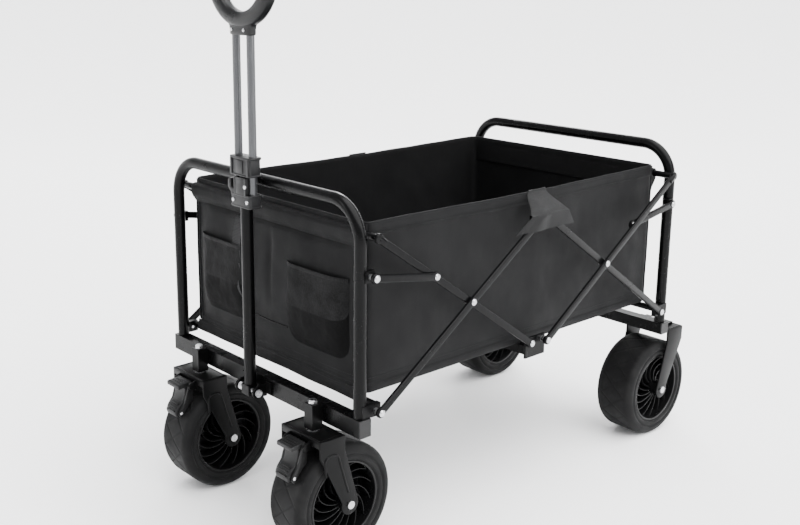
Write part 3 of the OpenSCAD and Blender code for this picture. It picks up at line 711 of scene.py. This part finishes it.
def pocket(name, side):
    """Bag pocket: knitted upper part, plain lower part, bound top edge and round lower corners."""
    lo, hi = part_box("pockets")
    width, corner = 144 * MM, 26 * MM
    inner = hi.y - width
    seam, binding_from = 0.47, 0.945
    thick = 1.3 * MM
    columns, rows = 44, 44

    def outline(u, v):
        edge = min(u, 1 - u) * width
        lift = corner - math.sqrt(max(0.0, corner ** 2 - (corner - edge) ** 2)) if edge < corner else 0.0
        return inner + width * u, lo.z + lift + (hi.z - lo.z - lift) * v

    def depth(u, v):
        across = 1 - abs(2 * u - 1) ** 5
        swell = 0.55 + 0.45 * math.sin(math.pi * min(1.0, v * 0.95 + 0.05))
        soft = noise.noise(Vector((u * 5, v * 5, side * 4.0))) * 1.5 * MM
        soft += noise.noise(Vector((u * 14, v * 12, side * 7.0))) * 0.5 * MM
        top_gap = 2.2 * MM * smooth(v, 0.8, 1.0) * across
        rise = smooth(v, -0.02, 0.12)
        return (8.0 * MM * swell * across + soft * across) * rise + top_gap + 0.5 * MM

    def point(layer, i, k):
        u, v = i / columns, k / rows
        y, z = outline(u, v)
        wall = front_point(y * side, z)
        out = depth(u, v) + (0.45 * MM if abs(v - seam) < 0.013 else 0)
        out += 1 * MM if v > binding_from else 0
        return wall.x - max(out - thick * layer, 0.2 * MM), y * side, z - 0.2 * MM * layer

    def slot_at(v):
        return 2 if v > binding_from else 0 if v > seam else 1

    mesh = sheet_mesh(name, columns, rows, point, slot_at=slot_at)
    for mat in (MATS["pocket_mesh"], POCKET_CLOTH, POCKET_BINDING):
        mesh.materials.append(mat)
    bag = place_mesh(name, mesh, "basket", "pocket_mesh", ("pockets",))
    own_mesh(bag)


POCKET_CLOTH = woven("pocket_polyester", (0.0011, 0.0011, 0.0012), 0.0014, gloss=0.04)
POCKET_BINDING = webbing("pocket_binding", (0.003, 0.003, 0.0032), 1)


def front_strap():
    """Webbing strap with a stitched end and a folded tab, hanging beside the handle."""
    shape = Shape()

    def ribbon(points, width, thick=0.8 * MM):
        bm = bmesh.new()
        rings = []
        for y, z, lift in points:
            base = front_point(y, z)
            x = base.x - lift
            y0, y1 = y - width / 2, y + width / 2
            corners = ((x, y0, z), (x, y1, z), (x - thick, y1, z), (x - thick, y0, z))
            rings.append([bm.verts.new(p) for p in corners])
        skin(bm, rings)
        shape.take(bm)

    top, foot = pivot("basket_hang").z - 26 * MM, BASE_Z + 135 * MM
    strap = [(77 * MM + 5 * MM * k / 24, top + (foot - top) * k / 24,
              (2.2 + 2.5 * math.sin(math.pi * k / 24)) * MM) for k in range(25)]
    ribbon(strap, 24 * MM, 1.1 * MM)
    ribbon(strap[-4:], 25 * MM, 3 * MM)
    cord = [(78 * MM - 14 * MM * (k / 20) ** 2, foot - 56 * MM * k / 20,
             (2 + 4 * math.sin(math.pi * k / 20)) * MM) for k in range(21)]
    ribbon(cord, 7 * MM, 1.4 * MM)
    low = foot - 58 * MM
    tab = [(66 * MM, low + up * MM, lift * MM) for up, lift in ((8, 1.6), (0, 4), (-8, 2))]
    ribbon(tab, 30 * MM, 2 * MM)
    strap_web = webbing("strap_webbing", (0.012, 0.012, 0.0125))
    piece = shape.done("front_strap", "basket", "basket_fabric", mat=strap_web, angle=40)
    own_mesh(piece)


def flap(name, side):
    """Sewn flap over the top link: narrow at the rim, wide below and tucked in at the front."""
    node_lo, node_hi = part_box("top_links")
    y_wall, y_out = WALLS_HI.y + 1.5 * MM, node_hi.y + 1.8 * MM
    z_top, z_low = RIM_Z - 1 * MM, node_lo.z - 7 * MM
    top_half, low_half = 21 * MM, 73 * MM
    top_shift, low_shift = 19 * MM, -4 * MM
    thick = 1.5 * MM
    columns, rows = 48, 36

    def point(layer, i, k):
        u, v = 2 * i / columns - 1, k / rows
        spread = top_half + (low_half - top_half) * v ** 1.25
        x = MID_X + u * spread + top_shift * (1 - v) + low_shift * v
        z = z_top + (z_low - z_top) * v - 1.5 * MM * v * abs(u) ** 3
        ridge = math.exp(-((u + 0.42) / 0.3) ** 2) * 3.2 * MM * smooth(v, 0.12, 0.5)
        hollow = math.exp(-((u - 0.1) / 0.22) ** 2) * 1.4 * MM * smooth(v, 0.4, 0.8)
        tuck = (abs(u) ** 6 * 5 + max(0.0, -u - 0.5) ** 1.3 * 16) * MM * v
        y = y_wall + (y_out - y_wall) * smooth(v, 0.0, 0.62) + ridge
        y -= hollow * (1 - smooth(v, 0.5, 0.9)) + tuck
        if v > 0.55:
            y = max(y, y_out - tuck * 0.4)
        y += noise.noise(Vector((x * 30, z * 26, side * 2.0))) * 0.8 * MM * smooth(v, 0.05, 0.3)
        return x, (y - thick * layer) * side, z

    mesh = sheet_mesh(name, columns, rows, point)
    piece = place_mesh(name, mesh, "basket", "basket_fabric", mat=FLAP_CLOTH)
    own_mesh(piece)


FLAP_CLOTH = woven("flap_polyester", (0.0052, 0.0052, 0.0054), 0.0014, 0.02, gloss=0.12)


def floor_mat():
    """Padded board on the basket's floor: four quilted panels with sewn channels between them."""
    x0, x1 = FLOOR_LO.x + 4 * MM, FLOOR_HI.x - 1.5 * MM
    half = FLOOR_HI.y - 4 * MM
    base, top = BASE_Z + 3.2 * MM, FLOOR_HI.z
    panels, columns, rows = 4, 160, 90
    edge_w = 9 * MM

    def height(u, v):
        channel = abs(math.sin(math.pi * panels * u))
        edge = smooth(min(u, 1 - u) * (x1 - x0), 0, edge_w) * smooth(min(v, 1 - v) * 2 * half, 0, edge_w)
        soft = noise.noise(Vector((u * 12, v * 8, 2.5))) * 0.5 * MM
        return base + (top - base) * (0.25 + 0.75 * smooth(channel, 0, 0.3)) * edge + soft * edge + 0.3 * MM

    def point(layer, i, k):
        u, v = i / columns, k / rows
        return x0 + (x1 - x0) * u, -half + 2 * half * v, base if layer else height(u, v)

    mesh = sheet_mesh("floor_mat", columns, rows, point, 60)
    mat = place_mesh("floor_mat", mesh, "basket", "floor_fabric", ("basket_floor",))
    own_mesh(mat)


bag_loop = basket_shell()
stitching(bag_loop)
corner_piping(bag_loop)
hem_sleeve("front_hem", pivot("basket_hang").x, PANEL_LO.x, 1)
hem_sleeve("rear_hem", 2 * MID_X - pivot("basket_hang").x, WALLS_HI.x, -1)
skirt()
pocket("left_pocket", 1)
pocket("right_pocket", -1)
front_strap()
flap("left_flap", 1)
flap("right_flap", -1)
floor_mat()


# ---------------------------------------------------------------- linkage

ARM_T, ARM_HALF, EYE_R = 6.5 * MM, 6 * MM, 8 * MM


def bar(shape, p, q, y_outer, bevel=1.7 * MM):
    """Flat arm with rounded eyes between two pivots, its outer face at y_outer."""
    span = (q - p).length
    a = math.asin(ARM_HALF / EYE_R)
    arc = [a + (2 * math.pi - 2 * a) * k / 16 for k in range(17)]
    outline = [(EYE_R * math.cos(t), EYE_R * math.sin(t)) for t in arc]
    outline += [(span - EYE_R * math.cos(t), -EYE_R * math.sin(t)) for t in arc]
    tilt = math.atan2(q.z - p.z, q.x - p.x)
    place = Matrix.Translation((p.x, 0, p.z)) @ Matrix.Rotation(-tilt, 4, "Y") @ XZ
    shape.prism(outline, y_outer - ARM_T, y_outer, bevel, place, 3)


def plane_pivot(joint):
    p = pivot(joint)
    return Vector((p.x, 0, p.z))


def mirrored(p):
    return Vector((2 * MID_X - p.x, 0, p.z))


LOW, HIGH = plane_pivot("fold"), plane_pivot("basket_hang")
CENTRE_LOW, CENTRE_HIGH = plane_pivot("centre_front_pivot"), plane_pivot("top_link_pivot")
STRUT = plane_pivot("front_strut_pivot")


def arms(name, body, p, q, node):
    shape = Shape()
    bar(shape, p, q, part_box(node)[1].y)
    shape.both_sides()
    shape.done(name, body, "arm_steel", (node,))


def high_arms(name, body, p, q, node, tube_node):
    """High arms with the tube that joins their upper ends, bent inwards at each corner."""
    shape = Shape()
    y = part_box(node)[1].y
    bar(shape, p, q, y)
    along = (q - p).normalized()
    bend = [p + along * ahead * MM + Vector((0, y - inward, 0)) for ahead, inward in
            ((15, ARM_T / 2), (5, ARM_T / 2), (1, 4.6 * MM), (0, 8 * MM), (0, 14 * MM), (0, 30 * MM))]
    shape.tube(bend, 5.6 * MM, 16, up=Vector((0.3, 0.2, 1)))
    shape.tube([p + Vector((0, y - 20 * MM, 0)), p + Vector((0, -2 * MM, 0))], 6 * MM, 20)
    shape.both_sides()
    shape.done(name, body, "arm_steel", (node, tube_node))


def strut(name, body, p, node):
    shape = Shape()
    lo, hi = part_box(node)
    reach = hi.x - EYE_R if p.x < MID_X else lo.x + EYE_R
    end = Vector((reach, 0, lo.z + EYE_R))
    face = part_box("front_low_arms")[1].y if p.x < MID_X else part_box("front_high_arms")[1].y
    bar(shape, p, end, face)
    shape.both_sides()
    shape.done(name, body, "arm_steel", (node,))
    rivet = Shape()
    rivet.lathe(mm(((0.4, 2.4), (2.6, 2.2), (4.4, 1.4), (5.2, 0.2), (5.2, -0.6), (0.4, -0.6))),
                (end.x, face, end.z), 24)
    rivet.both_sides()
    rivet.done(name + "_rivets", body, "zinc_hardware")


arms("front_low_arm_bars", "low_arms_front", LOW, CENTRE_HIGH, "front_low_arms")
arms("rear_low_arm_bars", "low_arms_rear", mirrored(LOW), mirrored(CENTRE_HIGH), "rear_low_arms")
high_arms("front_high_arm_bars", "high_arms_front", HIGH, CENTRE_LOW, "front_high_arms", "front_top_tube")
high_arms("rear_high_arm_bars", "high_arms_rear", mirrored(HIGH), mirrored(CENTRE_LOW), "rear_high_arms",
          "rear_top_tube")
strut("front_strut_bars", "struts_front", STRUT, "front_struts")
strut("rear_strut_bars", "struts_rear", mirrored(STRUT), "rear_struts")


# ---------------------------------------------------------------- forks

CASTER_TRAIL, HALF_CROWN = 35 * MM, 25 * MM
LEVER_AHEAD, LEVER_DOWN = 8 * MM, 13 * MM


def fork(name, body, node, side, facing):
    """Pressed fork: folded crown, tapered legs and a skirt; the front ones add ribs and brake lugs."""
    lo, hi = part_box(node)
    crown_top = hi.z
    mid_y = (lo.y + hi.y) / 2
    half_w, leg_t = 49 * MM, 4 * MM
    hub = middle(("left_axle" if side > 0 else "right_axle") if facing > 0 else
                 ("rear_left_rim" if side > 0 else "rear_right_rim"))
    swivel_x = hub.x - CASTER_TRAIL * facing
    shape = Shape()

    def local(u, z):
        return (swivel_x + u * facing, z)

    waist, eye = 26 * MM, 17 * MM
    steps = 18
    leg = [local(-HALF_CROWN, crown_top), local(HALF_CROWN, crown_top), local(HALF_CROWN, crown_top - waist)]
    leg += [local(CASTER_TRAIL + eye * math.cos(a), hub.z + eye * math.sin(a))
            for a in (math.radians(20 - 220 * k / steps) for k in range(steps + 1))]
    leg += [local(-HALF_CROWN, crown_top - waist)]
    for sgn in (-1, 1):
        shape.prism(leg, mid_y + sgn * half_w, mid_y + sgn * (half_w - leg_t), 1.3 * MM, XZ, 3)
        if facing > 0:
            rib = [local(u * MM, crown_top + z * MM) for u, z in
                   ((-13.5, -60), (-15.5, -38), (-14, -31), (-8, -27.5), (4, -27.5), (10, -31),
                    (12.5, -38), (22, -70), (31, -98))]
            path = [Vector((x, mid_y + sgn * (half_w - 0.5 * MM), z)) for x, z in rib]
            shape.tube(smooth_path(path, 5), 2.1 * MM, 10, up=Vector((0, 1, 0)))
    crown_w, skirt_w = half_w - 0.6 * MM, half_w - 0.8 * MM
    shape.box((swivel_x - HALF_CROWN, mid_y - crown_w, crown_top - leg_t),
              (swivel_x + HALF_CROWN, mid_y + crown_w, crown_top), 1.2 * MM, 3)
    front_x = swivel_x - HALF_CROWN * facing
    xs = sorted((front_x, front_x + 3 * MM * facing))
    shape.box((xs[0], mid_y - skirt_w, crown_top - 12 * MM),
              (xs[1], mid_y + skirt_w, crown_top - 1 * MM), 1.0 * MM, 2)
    bead_x, bead_y = 22.5, 45.5
    border = [(-bead_x, -bead_y), (bead_x, -bead_y), (bead_x, bead_y), (-bead_x, bead_y), (-bead_x, -bead_y)]
    ring = [Vector((swivel_x + u * MM, mid_y + v * MM, crown_top - 0.2 * MM)) for u, v in border]
    for a, b in zip(ring, ring[1:]):
        shape.tube([a, b], 1.1 * MM, 8, up=Vector((0, 0, 1)))
    if facing > 0:
        lever_x, lever_z = front_x - LEVER_AHEAD, crown_top - LEVER_DOWN
        lug_in, lug_out = 22.4 * MM, 26.4 * MM
        for sgn in (-1, 1):
            outline = mm(((1, -4), (1, -20)), front_x, crown_top)
            outline += ring_points(6.5 * MM, 9, -math.pi / 2, -math.pi, (lever_x, lever_z))
            shape.prism(outline, mid_y + sgn * lug_in, mid_y + sgn * lug_out, 0.9 * MM, XZ)
        shape.lathe(mm(((0.3, -24), (2.4, -24), (2.4, 24), (0.3, 24))), (lever_x, mid_y, lever_z), 20)
    shape.done(name, body, "fork_steel", (node,))


def smooth_path(points, per=4):
    """Catmull-Rom curve through the points."""
    out = []
    for i in range(len(points) - 1):
        p0, p1 = points[max(i - 1, 0)], points[i]
        p2, p3 = points[i + 1], points[min(i + 2, len(points) - 1)]
        for k in range(per):
            t = k / per
            out.append(0.5 * (2 * p1 + (p2 - p0) * t + (2 * p0 - 5 * p1 + 4 * p2 - p3) * t ** 2
                              + (3 * p1 - p0 - 3 * p2 + p3) * t ** 3))
    return out + [points[-1]]


fork("left_fork_plates", "left_caster", "left_fork", 1, 1)
fork("right_fork_plates", "right_caster", "right_fork", -1, 1)
fork("rear_left_fork_plates", "rear_frame", "rear_left_fork", 1, -1)
fork("rear_right_fork_plates", "rear_frame", "rear_right_fork", -1, -1)


# ---------------------------------------------------------------- wheels

WHEEL_R = 96 * MM


def tyre_mesh():
    """Wide foam tyre with a diamond tread, round shoulders and stepped side walls."""
    flat, shoulder = 27 * MM, 13 * MM
    groove_w, groove_deep = 1.25 * MM, 1 * MM
    side = [(WHEEL_R, flat)]
    side += [(WHEEL_R - shoulder + shoulder * math.sin(a), flat + shoulder * math.cos(a))
             for a in (math.radians(90 - 90 * k / 9) for k in range(1, 10))]
    side += mm(((81.5, 40.0), (80.6, 39.3), (79.8, 38.4), (78.8, 38.0), (77.6, 38.4), (76.6, 39.2),
                (75.4, 39.6), (71.5, 39.4), (70.2, 38.8), (69.2, 37.4), (68.2, 36.4), (67.0, 36.0),
                (67.0, 30.0), (68.5, 24.0)))
    tread = [(WHEEL_R, flat * (1 - k / 22)) for k in range(1, 44)]
    profile = side[::-1] + tread + [(r, -y) for r, y in side]
    steps = 360
    pitch = 2 * math.pi * WHEEL_R / 15
    bm = bmesh.new()
    rings = []
    for i in range(steps):
        a = 2 * math.pi * i / steps
        ring, along = [], a * WHEEL_R
        for r, y in profile:
            if r > 84 * MM:
                deep = 0.0
                for lean in (-0.8, 0.8):
                    phase = ((along + lean * y) / pitch + 0.25) % 1.0
                    gap = abs(phase - 0.5) * pitch
                    deep = max(deep, math.exp(-(gap / groove_w) ** 2))
                r -= groove_deep * deep * smooth(34 * MM - abs(y), 0, 7 * MM)
                r += noise.noise(Vector((math.cos(a) * 9, math.sin(a) * 9, y * 60))) * 0.12 * MM
            ring.append(bm.verts.new((r * math.cos(a), y, r * math.sin(a))))
        rings.append(ring)
    skin(bm, rings, closed=True)
    return finished(bm, "tyre", 42)


def rim_shape():
    """Deep dished rim: rolled lip, web, long hub with a bearing seat, and swept vanes."""
    shape = Shape()
    half = mm(((66.9, 30), (66.9, 36.6), (66.2, 37.2), (64.6, 37.2), (63.6, 36.4), (63.0, 34), (61.5, 14),
               (60.0, 6), (57, 3), (20, 2.2), (16, 4), (14.5, 10), (13.5, 36), (13.2, 43.2), (12.2, 44.2),
               (9.5, 44.2), (9.0, 43), (5.2, 43)))
    shape.lathe(half + [(r, -y) for r, y in half[::-1]] + mm(((66.9, 0),)), (0, 0, 0), 96)
    for side in (-1, 1):
        for i in range(14):
            turn = 2 * math.pi * i / 14
            bm = bmesh.new()
            rows = []
            for k in range(13):
                t = k / 12
                r = 13 * MM + 49.5 * MM * t
                a = turn + side * 0.95 * t ** 1.35
                top = (31 - 5 * math.sin(math.pi * t) - 3 * t) * MM
                wide = (1.5 + 0.7 * t) * MM
                tangent = Vector((-math.sin(a), math.cos(a)))
                centre = Vector((r * math.cos(a), r * math.sin(a)))
                half = ((wide, 1 * MM), (wide * 0.6, top - 0.8 * MM), (wide * 0.3, top))
                row = []
                for w, y in [(-w, y) for w, y in half] + list(half[::-1]):
                    p = centre + tangent * w
                    row.append(bm.verts.new((p.x, y * side, p.y)))
                rows.append(row)
            skin(bm, rows)
            shape.take(bm)
    return shape


TYRE, RIM = tyre_mesh(), rim_shape().mesh("wheel_rim")
for quarter, corner in enumerate(("front_left", "front_right", "rear_left", "rear_right")):
    wheel, rim = corner + "_wheel", corner + "_rim"
    place = Matrix.Translation(middle(rim)) @ Matrix.Rotation(math.pi / 2 * quarter, 4, "Y")
    for piece in (place_mesh(corner + "_tread", TYRE, wheel, "tyre_rubber", (corner + "_tyre",)),
                  place_mesh(wheel + "_rim", RIM, wheel, "rim_plastic", (rim,))):
        piece.matrix_world = place


# ---------------------------------------------------------------- brake levers

def brake(side_name):
    """Moulded brake: ribbed foot tab, pivot boss and a shoe with cheeks that lies close to the tyre."""
    node = side_name + "_brake_lever"
    lo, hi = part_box(node)
    mid_y = (lo.y + hi.y) / 2
    hub = middle(side_name + "_axle")
    px = hub.x - CASTER_TRAIL - (HALF_CROWN + LEVER_AHEAD)
    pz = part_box(side_name + "_fork")[1].z - LEVER_DOWN
    shape = Shape()

    def around(r, degrees):
        a = math.radians(degrees)
        return (hub.x - r * math.cos(a), hub.z + r * math.sin(a))

    inner, outer = 103 * MM, 115 * MM
    shoe_w, cheek_in, cheek_out, tab_w = 16 * MM, 17 * MM, 21.8 * MM, 19 * MM
    shoe = [around(inner, a) for a in range(30, 53, 2)] + mm(((6, -6), (7, 2)), px, pz)
    shoe += ring_points(7 * MM, 7, 0.5, 2.2, (px, pz)) + mm(((-11, -2), (-9, -9)), px, pz)
    shoe += [around(outer + r * MM, a) for r, a in
             ((2, 47), (-1, 43), (1.5, 39), (1.5, 36), (0.5, 32.5), (-4, 30))]
    shape.prism(shoe, mid_y - shoe_w, mid_y + shoe_w, 2.2 * MM, XZ, 3)
    cheek = [around(inner + 0.5 * MM, a) for a in range(31, 53, 2)] + mm(((5, -6), (5, 3)), px, pz)
    cheek += ring_points(6 * MM, 6, 0.6, 2.0, (px, pz)) + mm(((-6, -5),), px, pz)
    cheek += [around(outer + r * MM, a) for r, a in ((-2, 44), (-2.5, 37), (-5, 32))]
    for sgn in (-1, 1):
        shape.prism(cheek, mid_y + sgn * cheek_in, mid_y + sgn * cheek_out, 1.2 * MM, XZ)
    tab = mm(((-23.5, -3), (-2, -1), (3, 7), (-22, 4.5), (-23.5, 3)), px, pz)
    shape.prism(tab, mid_y - tab_w, mid_y + tab_w, 1.2 * MM, XZ, 3)
    for k in range(3):
        x = px - 20 * MM + 6 * MM * k
        z = pz + 4.6 * MM + 0.1 * (x - px + 22 * MM)
        shape.tube([(x, mid_y - 15 * MM, z), (x, mid_y + 15 * MM, z)], 0.9 * MM, 8)
    for degrees in (33.5, 37, 40.5):
        x, z = around(outer + 1.6 * MM, degrees)
        shape.tube([(x, mid_y - 11 * MM, z), (x, mid_y + 11 * MM, z)], 1.2 * MM, 8)
    shape.done(side_name + "_brake_shoe", node, "brake_plastic", (node,))
    pins = Shape()
    head = mm(((0.3, 1.5), (1.8, 1.3), (2.9, 0.6), (3.1, -0.5), (0.3, -0.5)))
    low_pin = around(inner + 5 * MM, 35)
    for sgn in (-1, 1):
        for x, z in (low_pin, (px - 2 * MM, pz - 1 * MM)):
            pins.lathe([(r, h * sgn) for r, h in head], (x, mid_y + sgn * (cheek_out + 0.1 * MM), z), 18)
    pins.done(side_name + "_brake_rivets", node, "zinc_hardware")


brake("left")
brake("right")


# ---------------------------------------------------------------- handle

BLOCK_W, BLOCK_D = 27 * MM, 12.5 * MM
FACE_X = MAST_X - BLOCK_D
ACROSS_MAST = Matrix.Translation((MAST_X, 0, 0)) @ Matrix.Rotation(math.pi / 2, 4, "Z")


def block(shape, wider, deeper, low, high, bevel, steps=3):
    """A block with round corners on the mast, larger than the plain one by wider and deeper."""
    r, outline = 5 * MM, []
    w, d = BLOCK_W + wider * MM - r, BLOCK_D + deeper * MM - r
    for cx, cy, start in ((w, d, 0), (-w, d, 90), (-w, -d, 180), (w, -d, 270)):
        outline += ring_points(r, 6, math.radians(start), math.pi / 2, (cx, cy))
    shape.prism(outline, low, high, bevel, ACROSS_MAST, steps)


def collar():
    """Collar on the mast: block with a lip above and below, a raised face panel, two ribs and an end boss."""
    lo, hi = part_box("mast_collar")
    shape = Shape()
    block(shape, -0.8, -0.8, lo.z + 1 * MM, hi.z - 1 * MM, 0.6 * MM, 2)
    block(shape, 1, 0.4, hi.z - 4 * MM, hi.z, 1 * MM)
    block(shape, 0.4, 0, lo.z, lo.z + 3 * MM, 0.8 * MM)
    shape.box((FACE_X - 0.6 * MM, -9 * MM, lo.z + 4.5 * MM),
              (FACE_X + 2 * MM, 9 * MM, hi.z - 5.5 * MM), 0.8 * MM)
    for side in (-1, 1):
        y = side * (BLOCK_W - 5 * MM)
        shape.box((FACE_X - 0.9 * MM, y - 2.6 * MM, lo.z + 2 * MM),
                  (FACE_X + 3 * MM, y + 2.6 * MM, hi.z - 3 * MM), 0.7 * MM)
    shape.box((MAST_X - 8 * MM, BLOCK_W - 2 * MM, lo.z + 3 * MM),
              (MAST_X + 8 * MM, hi.y, hi.z - 4 * MM), 1 * MM)
    shape.done("collar_block", "handle", "black_plastic", ("mast_collar",))


def carriage():
    """Carriage on the rods' ends: banded block, a riser towards the collar and an ear on one side."""
    lo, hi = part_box("rod_carriage")
    block_top = lo.z + 22 * MM
    shape = Shape()
    block(shape, -0.6, -0.6, lo.z, block_top, 1 * MM)
    block(shape, 0.4, 0.3, block_top - 3 * MM, block_top, 0.9 * MM)
    block(shape, 0.1, 0, lo.z + 1 * MM, lo.z + 3.5 * MM, 0.7 * MM, 2)
    riser = mm(((-17, -2), (17, -2), (14, 8)), 0, block_top)
    riser += mm(((14, -2), (12, 0), (-12, 0), (-14, -2)), 0, hi.z) + [(-14 * MM, block_top + 8 * MM)]
    shape.prism(riser, FACE_X, FACE_X + 2 * MM, 0.6 * MM, YZ)
    for y in (-14 * MM, 14 * MM):
        shape.box((FACE_X - 0.4 * MM, y - 2.2 * MM, block_top - 2 * MM),
                  (FACE_X + 9 * MM, y + 2.2 * MM, hi.z), 0.7 * MM)
    ear = mm(((25, -1), (30, 3), (34, 8), (34, 19), (31, 22), (26, 22), (26, 8), (16, 6), (16, -1)),
             0, block_top)
    shape.prism(ear, FACE_X + 1 * MM, FACE_X + 10 * MM, 1 * MM, YZ)
    shape.done("carriage_block", "grip", "black_plastic", ("rod_carriage",))
    pins = Shape()
    for y, z in ((18 * MM, lo.z + 11 * MM), (-19 * MM, lo.z + 11 * MM), (-14 * MM, block_top + 13 * MM)):
        pins.lathe(mm(((0.3, -1.6), (2.0, -1.4), (3.1, -0.7), (3.3, 0.5), (0.3, 0.5))),
                   (FACE_X - 0.3 * MM, y, z), 20, axis="X")
    pins.done("carriage_rivets", "grip", "zinc_hardware")


def grip():
    """Ring grip with a soft oval section and a neck that flares into it."""
    lo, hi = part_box("grip_ring")
    ring_r, tube_r = 73 * MM, 13 * MM
    centre_z = hi.z - ring_r - tube_r
    shape = Shape()
    section = []
    for k in range(28):
        a = 2 * math.pi * k / 28
        c, s = math.cos(a), math.sin(a)
        shape_r = (abs(c) ** 2.6 + abs(s) ** 2.6) ** (-1 / 2.6)
        seam = 0.35 * MM * (math.exp(-(s / 0.06) ** 2))
        section.append((ring_r + (tube_r * shape_r * 0.985 - seam) * c, tube_r * shape_r * 0.95 * s))
    section = [(min(r, ring_r + tube_r), h) for r, h in section]
    shape.lathe(section, (MAST_X, 0, centre_z), 128, axis="X")
    neck_lo = lo.z
    rings = []
    bm = bmesh.new()
    for up, wide, deep in ((0, 25.5, 8.2), (0.8, 26.6, 9.2), (3, 27, 9.5), (8, 27.2, 9.5), (13, 28.4, 9.6),
                           (17, 31, 9.8), (20, 34.5, 9.8), (22.5, 38.5, 9.4), (24.5, 42, 8.6), (26, 44, 7.5)):
        ring = []
        for k in range(48):
            t = 2 * math.pi * k / 48
            c, n = math.cos(t), math.sin(t)
            ring.append(bm.verts.new((MAST_X + deep * MM * math.copysign(abs(c) ** 0.5, c),
                                      wide * MM * math.copysign(abs(n) ** 0.5, n), neck_lo + up * MM)))
        rings.append(ring)
    skin(bm, rings)
    shape.take(bm)
    shape.done("grip_body", "grip", "grip_plastic", ("grip_ring",), angle=50)
    pins = Shape()
    for y, z in ((17 * MM, neck_lo + 8 * MM), (-15 * MM, neck_lo + 8 * MM)):
        pins.lathe(mm(((0.3, -1.2), (1.7, -1.0), (2.6, -0.4), (2.7, 1.6), (0.3, 1.6))),
                   (MAST_X - 10 * MM, y, z), 20, axis="X")
    pins.done("neck_screws", "grip", "zinc_hardware", ("handle_screws",))


collar()
carriage()
grip()

set_camera()
set_lights()
set_floor()
